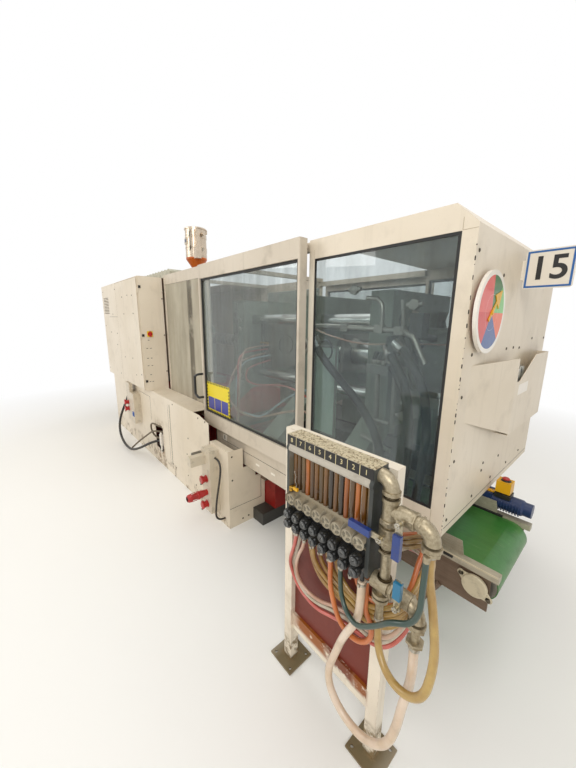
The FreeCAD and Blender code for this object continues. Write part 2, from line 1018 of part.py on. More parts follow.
def make_clamp_housing():
    """The sheet housing over the clamp, its top edge chamfered, open below and to the gates."""
    outline = [
        ("clamp_left", "deck_height"),
        (RIGHT, "deck_height"),
        (RIGHT, "guard_height - chamfer_drop"),
        (f"{RIGHT} - chamfer_run", "guard_height"),
        ("clamp_left", "guard_height"),
    ]
    inside = [
        ("clamp_left - 1", "deck_height - 1"),
        (f"{RIGHT} - skin", "deck_height - 1"),
        (f"{RIGHT} - skin", "guard_height - chamfer_drop - skin / 2"),
        (f"{RIGHT} - chamfer_run - skin / 2", "guard_height - skin"),
        ("clamp_left - 1", "guard_height - skin"),
    ]
    whole = plate("housing_block", "XZ", [outline], FRONT, BACK)
    hollow = plate("housing_hollow", "XZ", [inside], f"{FRONT} + skin", f"{BACK} - skin")
    window = rectangle(
        "clamp_window_left",
        "clamp_window_right",
        "clamp_window_bottom",
        "clamp_window_top",
    )
    opening = plate("housing_windows", "XZ", [window], f"{FRONT} - 1", f"{BACK} + 1")
    keep(cut("housing_whole", whole, [hollow, opening]), "clamp_housing")


def make_pocket():
    """The folded document pocket on the end panel, with its V notch and open lower corner."""
    out = f"{RIGHT} + pocket_depth"
    sheet_out = f"{out} - pocket_sheet"
    outline = [
        (RIGHT, "pocket_start"),
        (out, "pocket_fold"),
        (out, "pocket_finish"),
        (RIGHT, "pocket_finish"),
    ]
    inside = [
        (f"{RIGHT} - 1", "pocket_start + 7 * pocket_sheet"),
        (sheet_out, "pocket_fold + pocket_sheet"),
        (sheet_out, "pocket_finish - pocket_sheet"),
        (f"{RIGHT} - 1", "pocket_finish - pocket_sheet"),
    ]
    shell = plate("pocket_block", "XY", [outline], "pocket_bottom", "pocket_top")
    hollow = plate("pocket_hollow", "XY", [inside], "pocket_bottom + pocket_sheet", "pocket_top + 1")
    notch = [
        ("notch_left", "notch_low"),
        ("notch_right", "notch_low"),
        ("notch_right + notch_spread", "pocket_top + 1"),
        ("notch_left - 3 * pocket_sheet", "pocket_top + 1"),
    ]
    vee = plate("pocket_notch", "YZ", [notch], f"{RIGHT} + 2 * pocket_sheet", f"{out} + 1")
    corner = [
        ("pocket_start - 1", "pocket_bottom - 1"),
        ("pocket_fold", "pocket_bottom - 1"),
        ("pocket_fold", "pocket_bottom + pocket_sheet * 3"),
        ("pocket_start - 1", "pocket_bottom + pocket_rise"),
    ]
    slope = plate("pocket_slope", "YZ", [corner], f"{RIGHT} - 1", f"{out} + 1")
    keep(cut("pocket_whole", shell, [hollow, vee, slope]), "document_pocket")


def make_dial():
    """The status disc on its boss, and the pointer that turns in front of it."""
    disc = turned(
        "dial_disc",
        [
            ("0", "0"),
            ("dial_boss", "0"),
            ("dial_boss", "dial_stand"),
            ("dial_radius", "dial_stand"),
            ("dial_radius", "dial_stand + dial_thick"),
            ("0", "dial_stand + dial_thick"),
        ],
        "x",
        (RIGHT, "dial_y", "dial_z"),
    )
    keep(disc, "status_disc")
    base = f"{RIGHT} + dial_stand + dial_thick + seat_gap"
    shaft = "pointer_reach / 14"
    head = "pointer_reach / 5"
    arrow = [
        (f"dial_y - {head} * 1.4", f"dial_z - {head} * 1.0"),
        (f"dial_y - {head} * 1.0", f"dial_z - {head} * 1.4"),
        (f"dial_y + {head} * 1.8", f"dial_z + {head} * 1.4"),
        (f"dial_y + {head} * 2.6", f"dial_z + {head} * 0.6"),
        (f"dial_y + {head} * 3.5", f"dial_z + {head} * 3.5"),
        (f"dial_y + {head} * 0.6", f"dial_z + {head} * 2.6"),
        (f"dial_y + {head} * 1.4", f"dial_z + {head} * 1.8"),
    ]
    pointer = plate("dial_arrow", "YZ", [arrow], base, f"{base} + pointer_thick")
    hub = rod("dial_hub", (base, "dial_y", "dial_z"), shaft, "pointer_thick * 2")
    keep(join("dial_pointer_whole", [pointer, hub]), "dial_pointer")


def make_sign():
    """The square number plate that stands out from the end panel on a folded tab."""
    low = f"{RIGHT} + 12"
    plate_body = plate(
        "sign_face",
        "XZ",
        [rectangle(low, f"{low} + sign_width", "sign_bottom", "sign_bottom + sign_height")],
        "sign_y",
        "sign_y + sign_thick",
    )
    soften(plate_body, "sign_round", FreeCAD.Vector(0, 1, 0))
    heights = ("sign_bottom + sign_height / 4", "sign_bottom + sign_height * 3 / 4")
    tab = box(
        "sign_tab",
        (RIGHT, f"{RIGHT} + sign_thick"),
        ("sign_y", "sign_y + sign_width / 5"),
        heights,
    )
    web = box(
        "sign_web",
        (RIGHT, f"{low} + sign_width / 10"),
        ("sign_y + sign_thick", "sign_y + sign_thick * 2"),
        heights,
    )
    keep(join("sign_whole", [plate_body, tab, web]), "number_sign")


# ---------------------------------------------------------------- clamp unit


def platen_outline(seat):
    """A cast platen seen along the machine: the near foot splayed out over the conveyor."""
    top = "axis_height + platen_rise"
    bottom = "axis_height - platen_rise"
    return [
        ("-platen_half", top),
        ("-platen_half", f"{bottom} + foot_width"),
        ("-foot_spread", f"{seat} + foot_height"),
        ("-foot_spread", seat),
        ("-foot_spread + foot_width", seat),
        ("-foot_spread + foot_width", f"{seat} + foot_height - foot_width / 2"),
        ("-spread_start", bottom),
        ("far_foot_in", bottom),
        ("far_foot_in", seat),
        ("platen_half", seat),
        ("platen_half", top),
    ]


def tie_holes(play):
    """The four tie-bar bores of a platen."""
    holes = []
    for across in ("-tie_half", "tie_half"):
        for up in ("axis_height - tie_half", "axis_height + tie_half"):
            holes.append(((across, up), f"tie_radius + {play}"))
    return holes


def make_platens():
    """Fixed, moving and end platens with their tie-bar bores."""
    on_axis = ("0", "axis_height")
    fixed = plate(
        "platen_fixed",
        "YZ",
        [platen_outline("deck_height")] + tie_holes("tie_play") + [(on_axis, "nozzle_bore")],
        "platen_left",
        "platen_left + platen_thick",
    )
    keep(fixed, "fixed_platen")
    knockouts = [
        ((f"{sign}knockout_y", "axis_height"), "knockout_radius + tie_play") for sign in ("-", "")
    ]
    moving = plate(
        "platen_moving",
        "YZ",
        [platen_outline("deck_height + way_height + seat_gap")] + tie_holes("tie_play") + knockouts,
        MOVING_LEFT,
        MOVING_BACK,
    )
    keep(moving, "moving_platen")
    end = plate(
        "platen_end",
        "YZ",
        [platen_outline("deck_height")] + tie_holes("tie_play") + [(on_axis, "ram_radius + tie_play")],
        "end_platen_left",
        "end_platen_left + end_platen_thick",
    )
    cylinder = turned(
        "clamp_cylinder",
        [
            ("piston_radius + tie_play", "0"),
            ("cylinder_radius + 20", "0"),
            ("cylinder_radius + 20", "30"),
            ("cylinder_radius", "30"),
            ("cylinder_radius", "cylinder_length - 30"),
            ("cylinder_radius - 25", "cylinder_length"),
            ("0", "cylinder_length"),
            ("0", "cylinder_length - cylinder_cap"),
            ("piston_radius + tie_play", "cylinder_length - cylinder_cap"),
        ],
        "x",
        ("end_platen_left + end_platen_thick", "0", "axis_height"),
    )
    keep(join("platen_end_whole", [end, cylinder]), "end_platen")


def make_tie_bars():
    """Four tie bars with a hexagon nut at each end."""
    bars = []
    start = "platen_left - nut_length"
    finish = "end_platen_left + end_platen_thick + nut_length"
    for i, across in enumerate(("-tie_half", "tie_half")):
        for j, up in enumerate(("axis_height - tie_half", "axis_height + tie_half")):
            place = (start, across, up)
            bars.append(rod(f"tie_bar_{i}{j}", place, "tie_radius", f"{finish} - ({start})"))
            nut = [hexagon(across, up, "nut_radius")]
            bars.append(plate(f"tie_nut_left_{i}{j}", "YZ", nut, start, "platen_left"))
            bars.append(plate(f"tie_nut_right_{i}{j}", "YZ", nut, f"{finish} - nut_length", finish))
    keep(join("tie_bar_set", bars), "tie_bars")


def make_ram():
    """The clamp ram, bolted to the moving platen, with its piston in the clamp cylinder."""
    base = f"({MOVING_BACK})"
    piston = f"end_platen_left + end_platen_thick + cylinder_length - cylinder_cap - 3 * tie_play - {base}"
    profile = [
        ("0", "0"),
        ("ram_flange", "0"),
        ("ram_flange", "knockout_plate"),
        ("ram_radius", "knockout_plate"),
        ("ram_radius", f"{piston} - piston_thick"),
        ("piston_radius", f"{piston} - piston_thick"),
        ("piston_radius", piston),
        ("0", piston),
    ]
    keep(turned("ram_turned", profile, "x", (MOVING_BACK, "0", "axis_height")), "clamp_ram")


def make_mould():
    """The two mould halves, parted at rest, with clamp slots, a round cavity and its core."""
    bottom = "axis_height - mould_rise"
    top = "axis_height + mould_rise"
    face = "platen_left + platen_thick + mould_thick"
    slot = "mould_thick / 7"
    inset = "mould_half - mould_thick / 9"
    for name, low, high, sign in (
        ("fixed", "platen_left + platen_thick", face, 1),
        ("moving", OPEN_LEFT, MOVING_LEFT, -1),
    ):
        start = f"({low}) + {slot}" if sign > 0 else f"({high}) - 2 * {slot}"
        block = box(f"mould_{name}_block", (low, high), ("-mould_half", "mould_half"), (bottom, top))
        tools = []
        slots = {"near": ("-mould_half - 1", f"-({inset})"), "far": (inset, "mould_half + 1")}
        for side, ys in slots.items():
            tools.append(
                box(
                    f"mould_{name}_slot_{side}",
                    (start, f"{start} + {slot}"),
                    ys,
                    (f"{bottom} - 1", f"{top} + 1"),
                )
            )
        if sign > 0:
            tools.append(
                rod(
                    "mould_cavity",
                    (f"{face} - cavity_depth", "0", "axis_height"),
                    "cavity_radius",
                    "cavity_depth + 1",
                )
            )
            tools.append(
                rod(
                    "mould_sprue",
                    (f"({low}) - 1", "0", "axis_height"),
                    "cavity_radius / 20",
                    "mould_thick + 2",
                )
            )
            core = cut("mould_fixed_cut", block, tools)
            rim = "cavity_radius - cavity_depth"
            boss = rod(
                "mould_boss",
                (f"{face} - cavity_depth - 1", "0", "axis_height"),
                rim,
                "cavity_depth / 2 + 1",
            )
            gate = rod(
                "mould_gate",
                (f"({low}) - 1", "0", "axis_height"),
                "cavity_radius / 20",
                "mould_thick + 2",
            )
            keep(join("mould_fixed_whole", [core, cut("mould_insert", boss, [gate])]), "mould_fixed")
        else:
            for place in ("-knockout_y", "knockout_y"):
                start_x = f"({high}) - knockout_stroke * 1.2"
                number = len(tools)
                tools.append(
                    rod(
                        f"mould_pin_{number}",
                        (start_x, place, "axis_height"),
                        "knockout_radius + 3",
                        "knockout_stroke * 1.2 + 1",
                    )
                )
            keep(cut("mould_moving_cut", block, tools), "mould_moving")


def make_ejector():
    """The knock-out crosshead behind the moving platen with its two rods."""
    low = f"{MOVING_BACK} + knockout_stroke + 2 * knockout_plate"
    ring = [
        rectangle(
            "-knockout_half",
            "knockout_half",
            "axis_height - ram_radius * 1.5",
            "axis_height + ram_radius * 1.5",
        ),
        (("0", "axis_height"), "ram_radius + knockout_radius / 2"),
    ]
    body = plate("knockout_crosshead", "YZ", ring, low, f"{low} + knockout_plate")
    items = [body]
    for i, place in enumerate(("-knockout_y", "knockout_y")):
        start = f"{MOVING_LEFT} + knockout_plate"
        items.append(
            rod(
                f"knockout_rod_{i}",
                (start, place, "axis_height"),
                "knockout_radius",
                f"({low}) - ({start}) + 1",
            )
        )
    keep(join("knockout_whole", items), "ejector")


# ---------------------------------------------------------------- injection unit


def make_injection_unit():
    """Carriage, barrel with heater bands, screw and the sliding screw drive."""
    base = ("deck_height + slide_height", "deck_height + slide_height + carriage_base")
    items = [
        box(
            "carriage_plate",
            ("carriage_left", "carriage_right"),
            ("-carriage_half", "carriage_half"),
            base,
        )
    ]
    for name, sign in (("near", "-1"), ("far", "1")):
        centre = f"{sign} * slide_half"
        ys = (f"{centre} - slide_width / 2", f"{centre} + slide_width / 2")
        items.append(
            box(
                f"carriage_shoe_{name}",
                ("carriage_left", "carriage_right"),
                ys,
                ("deck_height + seat_gap", base[0]),
            )
        )
    feed = plate(
        "feed_block",
        "YZ",
        [
            [
                ("-feed_half", base[1]),
                ("feed_half", base[1]),
                ("feed_half", "axis_height + feed_rise - 60"),
                ("feed_half - 60", "axis_height + feed_rise"),
                ("-feed_half + 60", "axis_height + feed_rise"),
                ("-feed_half", "axis_height + feed_rise - 60"),
            ],
            (("0", "axis_height"), "barrel_radius + screw_play"),
        ],
        "feed_left",
        "carriage_right",
    )
    items.append(feed)
    for i, across in enumerate(("-guide_y", "guide_y")):
        for j, up in enumerate(("axis_height - guide_z", "axis_height + guide_z")):
            length = "feed_left - guide_end + 1"
            items.append(rod(f"drive_guide_{i}{j}", ("guide_end", across, up), "guide_radius", length))
    throat = rod("feed_throat", ("throat_x", "0", "axis_height"), "throat_radius", "feed_rise + 1", "z")
    keep(cut("carriage_whole", join("carriage_joined", items), [throat]), "injection_carriage")
    make_barrel()
    make_drive()


def make_barrel():
    """The barrel, bored for the screw, with heater bands and a tapered nozzle."""
    inner = "screw_radius + screw_play"
    tip = "platen_left + platen_thick - seat_gap - feed_left - 20"
    shoulder = f"({tip} - nozzle_length)"
    profile = [
        (inner, "0"),
        ("barrel_radius", "0"),
        ("barrel_radius", shoulder),
        ("barrel_radius / 2", f"{shoulder} + barrel_radius / 2"),
        ("barrel_radius / 2", f"{tip} - barrel_radius / 4"),
        ("barrel_radius / 4", tip),
        ("screw_radius / 8", tip),
        ("screw_radius / 8", f"{shoulder} - 10"),
        (inner, f"{shoulder} - 30"),
    ]
    tube_body = turned("barrel_tube", profile, "x", ("feed_left + 20", "0", "axis_height"))
    bands = [tube_body]
    for i in range(SIZES["heaters"]):
        ring = [
            ("barrel_radius - 1", "0"),
            ("heater_radius", "0"),
            ("heater_radius", "heater_length"),
            ("barrel_radius - 1", "heater_length"),
        ]
        place = (f"heater_first + {i} * heater_pitch", "0", "axis_height")
        bands.append(turned(f"heater_band_{i}", ring, "x", place))
    throat = rod(
        "barrel_throat",
        ("throat_x", "0", "axis_height"),
        "throat_radius",
        "barrel_radius + 5",
        "z",
    )
    keep(cut("barrel_whole", join("barrel_joined", bands), [throat]), "barrel")


def make_drive():
    """The screw, its bearing plate on the guide rods and the hydraulic motor behind it."""
    reach = "platen_left + platen_thick - nozzle_length - 60 - drive_front"
    profile = [
        ("0", "0"),
        ("screw_radius * 0.8", "0"),
        ("screw_radius * 0.8", "screw_radius * 3"),
        ("screw_radius", "screw_radius * 4"),
        ("screw_radius", f"{reach} - screw_radius * 2"),
        ("screw_radius / 5", reach),
        ("0", reach),
    ]
    keep(turned("screw_turned", profile, "x", ("drive_front", "0", "axis_height")), "screw")
    holes = []
    for across in ("-guide_y", "guide_y"):
        for up in ("axis_height - guide_z", "axis_height + guide_z"):
            holes.append(((across, up), "guide_radius + tie_play"))
    low = "drive_front - seat_gap - drive_plate"
    square = rectangle(
        "-drive_half",
        "drive_half",
        "axis_height - drive_half",
        "axis_height + drive_half",
    )
    bearing = plate("drive_plate_body", "YZ", [square] + holes, low, f"{low} + drive_plate")
    soften(bearing, "drive_plate / 3", FreeCAD.Vector(1, 0, 0))
    motor = turned(
        "drive_motor",
        [
            ("0", "0"),
            ("motor_radius * 0.55", "0"),
            ("motor_radius * 0.55", "motor_length * 0.15"),
            ("motor_radius * 0.9", "motor_length * 0.2"),
            ("motor_radius * 0.9", "motor_length * 0.8"),
            ("motor_radius", "motor_length * 0.8"),
            ("motor_radius", "motor_length"),
            ("0", "motor_length"),
        ],
        "x",
        (f"{low} - motor_length", "0", "axis_height"),
    )
    clear = []
    for i, across in enumerate(("-guide_y", "guide_y")):
        for j, up in enumerate(("axis_height - guide_z", "axis_height + guide_z")):
            place = (f"{low} - motor_length - 1", across, up)
            clear.append(rod(f"drive_clear_{i}{j}", place, "guide_radius + 8", "motor_length + 1"))
    keep(join("drive_whole", [bearing, cut("drive_motor_cut", motor, clear)]), "injection_drive")


def make_hopper():
    """The orange cone under the loader and the neck that leads down to the feed throat."""
    outer = [
        ("throat_radius", "axis_height + feed_rise"),
        ("cone_neck * 2", "axis_height + feed_rise"),
        ("cone_neck * 2", "axis_height + feed_rise + 20"),
        ("cone_neck", "axis_height + feed_rise + 20"),
        ("cone_neck", "cone_bottom"),
        ("loader_radius", "loader_bottom - 20"),
        ("loader_radius", "loader_bottom"),
        ("loader_radius - hopper_wall", "loader_bottom"),
        ("loader_radius - hopper_wall", "loader_bottom - 18"),
        ("cone_neck - hopper_wall", "cone_bottom"),
        ("cone_neck - hopper_wall", "axis_height + feed_rise + 20"),
        ("throat_radius", "axis_height + feed_rise + 10"),
    ]
    keep(turned("hopper_turned", outer, "z", ("throat_x", "0", "0")), "hopper")


def make_loader():
    """The vacuum loader: beaded drum, latched lid, inlet stub and its control box."""
    drum = [("0", "loader_bottom"), ("loader_radius", "loader_bottom")]
    third = "(loader_top - loader_bottom) / 3"
    for i in (1, 2):
        middle = f"loader_bottom + {i} * {third}"
        drum.append(("loader_radius", f"{middle} - 2 * loader_bead"))
        drum.append(("loader_radius + loader_bead", f"{middle} - loader_bead"))
        drum.append(("loader_radius + loader_bead", f"{middle} + loader_bead"))
        drum.append(("loader_radius", f"{middle} + 2 * loader_bead"))
    drum += [
        ("loader_radius", "loader_top - lid_height"),
        ("loader_radius + 2 * loader_bead", "loader_top - lid_height"),
        ("loader_radius + 2 * loader_bead", "loader_top - lid_height / 3"),
        ("loader_radius", "loader_top"),
        ("0", "loader_top"),
    ]
    items = [turned("loader_drum", drum, "z", ("throat_x", "0", "0"))]
    root = "loader_radius + inlet_neck"
    neck = "inlet_radius - inlet_step"
    items.append(rod("loader_inlet_neck", ("throat_x", "0", "inlet_z"), neck, f"{root} + inlet_step"))
    start = (f"throat_x + {root}", "0", "inlet_z")
    items.append(rod("loader_inlet", start, "inlet_radius", "inlet_length - inlet_neck"))
    side = "throat_x + loader_radius"
    column = (f"{side} - column_inset", f"{side} + column_width")
    heights = ("loader_bottom + column_width", "loader_top - lid_height * 2")
    ys = ("-inlet_radius - column_width", "-inlet_radius - column_gap")
    items.append(box("loader_column", column, ys, heights))
    spans = (f"{side} + seat_gap", f"{side} + control_reach")
    heights = ("loader_bottom - control_drop", "loader_bottom + control_rise")
    items.append(box("loader_control", spans, (f"{ys[0]} - column_inset", ys[1]), heights))
    for i in range(3):
        angle = math.radians(110 * i + 200)
        x = f"throat_x + {math.cos(angle):.4f} * loader_radius"
        y = f"{math.sin(angle):.4f} * loader_radius"
        spans = ((f"{x} - 12", f"{x} + 12"), (f"{y} - 12", f"{y} + 12"))
        items.append(
            box(
                f"loader_latch_{i}",
                *spans,
                ("loader_top - 3 * lid_height", "loader_top - lid_height / 2"),
            )
        )
    keep(join("loader_whole", items), "loader")


def make_rear_housing():
    """Sheet cover over the injection drive: left end, back and a roof slotted for the hopper."""
    inner = f"{BACK} - skin"
    end = box("rear_end", (LEFT, f"{LEFT} + skin"), ("-cabinet_back", inner), ("bed_top", "rear_top"))
    back = box(
        "rear_back",
        (LEFT, "guard_left - seat_gap"),
        (inner, BACK),
        ("deck_height - skin", "rear_top"),
    )
    outline = [
        (LEFT, "-cabinet_back"),
        ("cabinet_right", "-cabinet_back"),
        ("cabinet_right", "-roof_slot_half"),
        ("roof_slot_left", "-roof_slot_half"),
        ("roof_slot_left", "roof_slot_half"),
        ("cabinet_right", "roof_slot_half"),
        ("cabinet_right", inner),
        (LEFT, inner),
    ]
    roof = plate("rear_roof", "XY", [outline], "rear_top - skin", "rear_top")
    keep(join("rear_whole", [end, back, roof]), "rear_housing")
    sides = ("duct_front", "duct_back")
    step = "(duct_right - duct_left) / duct_ribs"
    low = [
        box(
            "duct_core",
            ("duct_left", "duct_right"),
            sides,
            ("rear_top", "rear_top + duct_height * 0.7"),
        )
    ]
    for i in range(SIZES["duct_ribs"]):
        middle = f"duct_left + ({i} + 0.5) * {step}"
        radius = "duct_height * 0.42"
        start = (middle, "duct_front - 12", "rear_top + duct_height - duct_height * 0.42")
        low.append(
            rod(
                f"duct_rib_{i}",
                start,
                f"min({radius}; {step} * 0.46)",
                "duct_back - duct_front + 24",
                "y",
            )
        )
    keep(join("duct_whole", low), "roof_duct")


# ---------------------------------------------------------------- electrical parts


def make_cabinet():
    """The control cabinet with its louvred front, door opening and edge hinges."""
    shell = box(
        "cabinet_block",
        (LEFT, "cabinet_right"),
        ("-cabinet_face", "-cabinet_back"),
        ("bed_top", "rear_top"),
    )
    wall = "skin"
    hollow = box(
        "cabinet_hollow",
        (f"{LEFT} + {wall}", f"cabinet_right - {wall}"),
        (f"-cabinet_face + {wall}", f"-cabinet_back - {wall}"),
        (f"bed_top + {wall}", f"rear_top - {wall}"),
    )
    opening = box(
        "cabinet_opening",
        ("door_left + door_edge * 2", "cabinet_right - door_edge * 2"),
        ("-cabinet_face - 1", f"-cabinet_face + {wall} + 1"),
        ("bed_top + door_edge * 3", "rear_top - door_edge * 3"),
    )
    louvres = plate(
        "cabinet_louvres",
        "XZ",
        [
            rectangle(
                "louvre_left",
                "louvre_left + louvre_width",
                "louvre_bottom",
                "louvre_bottom + louvre_gap",
            )
        ],
        "-cabinet_face - 1",
        f"-cabinet_face + {wall} + 1",
    )
    pattern = louvres.newObject("PartDesign::LinearPattern", "cabinet_louvre_rows")
    pattern.Originals = [louvres.Tip]
    pattern.Direction = (origin_plane(louvres, "Z_Axis"), [""])
    pattern.Mode = "Spacing"
    bind(pattern, "Offset", "louvre_pitch")
    pattern.Occurrences = 11
    louvres.Tip = pattern
    cabinet = cut("cabinet_cut", shell, [hollow, opening, louvres])
    mounting = box(
        "cabinet_plate",
        ("door_left + door_edge * 4", "cabinet_right - door_edge * 6"),
        (f"-cabinet_back - {wall} - 12", f"-cabinet_back - {wall}"),
        ("bed_top + door_edge * 6", "rear_top - door_edge * 6"),
    )
    keep(join("cabinet_whole", [cabinet, mounting]), "cabinet")
    make_door()
    start = ("cabinet_right + seat_gap", "switch_y", "switch_z")
    knob = rod("switch_collar", start, "switch_radius", "switch_reach / 3")
    half = "switch_radius / 3"
    bar = box(
        "switch_bar",
        ("cabinet_right + seat_gap", "cabinet_right + seat_gap + switch_reach"),
        (f"switch_y - {half}", f"switch_y + {half}"),
        ("switch_z - switch_radius * 1.2", "switch_z + switch_radius * 1.2"),
    )
    keep(join("switch_whole", [knob, bar]), "main_switch")


def make_door():
    """The cabinet door: a folded pan hung on three pin hinges at its right edge."""
    face = "-cabinet_face - seat_gap"
    edge = "cabinet_right - door_edge"
    pan = plate(
        "door_pan",
        "XZ",
        [rectangle("door_left", edge, "bed_top + door_edge", "rear_top - door_edge")],
        f"{face} - door_thick",
        face,
    )
    items = [pan]
    for i, share in enumerate((0.1, 0.48, 0.86)):
        low = f"bed_top + (rear_top - bed_top) * {share}"
        place = (f"{edge} + hinge_radius", f"{face} - door_thick / 2", low)
        items.append(rod(f"door_hinge_{i}", place, "hinge_radius", "hinge_height", "z"))
    keep(join("door_whole", items), "cabinet_door")


def make_socket_boxes():
    """Two socket boxes with a heavy connector, and the red sockets and plug on them."""
    first = box(
        "outlet_first",
        ("first_box_left", "first_box_right"),
        ("-outlet_face", "-bed_front"),
        ("first_box_bottom", "first_box_top"),
    )
    second = box(
        "outlet_second",
        ("second_box_left", "second_box_right"),
        ("-outlet_face", "-bed_front"),
        ("second_box_bottom", "second_box_top"),
    )
    reach = "plug_reach"
    hood = box(
        "outlet_connector",
        ("second_box_left + 10", "second_box_left + 70"),
        (f"-outlet_face - {reach}", "-outlet_face"),
        ("second_box_top - 130", "second_box_top - 50"),
    )
    keep(join("outlet_boxes", [first, second, hood]), "socket_boxes")
    items = []
    middle = "(second_box_left + second_box_right) / 2"
    height = "(second_box_top - second_box_bottom)"
    for i, share in enumerate((0.53, 0.31, 0.12)):
        start = (middle, "-outlet_face - socket_reach", f"second_box_bottom + {height} * {share}")
        items.append(
            cone(
                f"outlet_red_{i}",
                start,
                ("socket_radius", "socket_radius * 0.85"),
                "socket_reach",
                "y",
            )
        )
    start = (middle, "-outlet_face - socket_reach - plug_reach", f"second_box_bottom + {height} * 0.31")
    items.append(cone("outlet_plug", start, ("plug_radius * 0.6", "plug_radius"), "plug_reach", "y"))
    for i, share in enumerate((0.62, 0.4)):
        left = "first_box_left + 60"
        start = (
            left,
            "-outlet_face - socket_reach",
            f"first_box_bottom + (first_box_top - first_box_bottom) * {share}",
        )
        items.append(
            cone(
                f"outlet_small_{i}",
                start,
                ("socket_radius", "socket_radius * 0.85"),
                "socket_reach",
                "y",
            )
        )
    keep(join("outlet_sockets", items), "red_sockets")


def make_control_panel():
    """The operator's panel on the far guard frame: a sloped housing with a recessed screen."""
    out = f"{BACK} + panel_depth"
    outline = [
        (BACK, "panel_bottom"),
        (f"{out} - 25", "panel_bottom"),
        (out, "panel_bottom + 120"),
        (f"{out} - 30", "panel_top"),
        (BACK, "panel_top"),
    ]
    case = plate("panel_case", "YZ", [outline], "panel_left", "panel_right")
    screen = box(
        "panel_screen",
        ("panel_left + 50", "panel_right - 50"),
        (f"{out} - 34", f"{out} + 1"),
        ("panel_bottom + 240", "panel_top - 40"),
    )
    keep(cut("panel_whole", case, [screen]), "control_panel")


# ---------------------------------------------------------------- manifold stand


def make_stand():
    """The stand: two square posts on drilled foot plates, top beam, lower bar and its sheet."""
    half = "post_side / 2"
    items = []
    for name, centre in (("left", "post_left"), ("right", "post_right")):
        xs = (f"{centre} - {half}", f"{centre} + {half}")
        ys = (f"stand_y - {half}", f"stand_y + {half}")
        items.append(box(f"stand_post_{name}", xs, ys, ("foot_thick", "stand_top - post_side")))
        side = "foot_side / 2"
        holes = []
        for across in ("-foot_spacing", "foot_spacing"):
            for along in ("-foot_spacing", "foot_spacing"):
                holes.append(((f"{centre} + {across} / 2", f"stand_y + {along} / 2"), "foot_hole"))
        outline = rectangle(
            f"{centre} - {side}",
            f"{centre} + {side}",
            f"stand_y - {side}",
            f"stand_y + {side}",
        )
        items.append(plate(f"stand_foot_{name}", "XY", [outline] + holes, "0", "foot_thick"))
    span = (f"post_left - {half}", f"post_right + {half}")
    items.append(
        box(
            "stand_beam",
            span,
            (f"stand_y - {half}", f"stand_y + {half}"),
            ("stand_top - post_side", "stand_top"),
        )
    )
    between = (f"post_left + {half}", f"post_right - {half}")
    ys = (f"stand_y - {half} / 2", f"stand_y + {half} / 2")
    items.append(box("stand_bar", between, ys, ("bar_bottom", "bar_bottom + bar_height")))
    keep(join("stand_whole", items), "manifold_stand")
    sheet_part = box(
        "stand_sheet_box",
        between,
        ("stand_y", "stand_y + post_wall"),
        ("bar_bottom + bar_height", "sheet_top"),
    )
    keep(sheet_part, "stand_sheet")


def make_manifold():
    """The eight-way water regulator: head block, bottle row below, flow tubes and fluted knobs."""
    back = "-manifold_face + manifold_depth"
    face = "-manifold_face"
    head_low = "manifold_top - manifold_head"
    head = box(
        "manifold_head_block",
        ("manifold_left", "manifold_right"),
        (face, back),
        (head_low, "manifold_top"),
    )
    middle_y = "-manifold_face + manifold_depth / 2"
    length = "manifold_right - manifold_left"
    roll = rod("manifold_roll", ("manifold_left", ROLL_Y, ROLL_Z), "roll_radius", length)
    items = [head, roll]
    for name, start in (("left", "manifold_left"), ("right", "manifold_right - end_post")):
        xs = (start, f"{start} + end_post")
        items.append(box(f"manifold_end_{name}", xs, (face, back), (RAIL_BOTTOM, head_low)))
    body_y = (f"{middle_y} - manifold_depth * 0.3", back)
    items.append(
        box(
            "manifold_bottle_back",
            ("manifold_left", "manifold_right"),
            body_y,
            ("bottle_bottom", "bottle_top"),
        )
    )
    for i in range(SIZES["circuits"]):
        x = f"manifold_left + end_post + ({i} + 0.5) * circuit_pitch"
        place = (x, "-manifold_face - bottle_proud", "(bottle_top + bottle_bottom) / 2")
        items.append(rod(f"manifold_bottle_{i}", place, "bottle_radius", "manifold_depth / 2", "y"))
    brace = "stand_y - post_side / 2"
    items.append(
        box(
            "manifold_bracket",
            ("manifold_left", "manifold_right"),
            (back, brace),
            (head_low, "manifold_top - bracket_drop"),
        )
    )
    port_x = "manifold_left + end_post + 1.5 * circuit_pitch"
    items.append(
        rod("manifold_port", (port_x, back, "bottle_top - port_drop"), "port_radius", "port_length", "y")
    )
    keep(join("manifold_whole", items), "manifold_body")
    make_flow_tubes()
    make_knobs()


def make_flow_tubes():
    """Eight pairs of clear flow tubes between the bottle row and the head."""
    tubes = []
    middle_y = "-manifold_face + manifold_depth / 2 - bottle_proud"
    low = "bottle_top"
    high = f"{ROLL_Z} - roll_radius"
    for i in range(SIZES["circuits"]):
        for side in ("-", "+"):
            x = f"manifold_left + end_post + ({i} + 0.5) * circuit_pitch {side} tube_split / 2"
            name = "a" if side == "-" else "b"
            tubes.append(
                rod(
                    f"flow_tube_{i}{name}",
                    (x, middle_y, low),
                    "tube_radius",
                    f"{high} + tube_radius - ({low})",
                    "z",
                )
            )
    whole = join("flow_tube_set", tubes)
    start = ("manifold_left - 1", ROLL_Y, ROLL_Z)
    roll = rod("flow_tube_roll", start, "roll_radius + tube_play", "manifold_right - manifold_left + 2")
    keep(cut("flow_tube_cut", whole, [roll]), "flow_tubes")


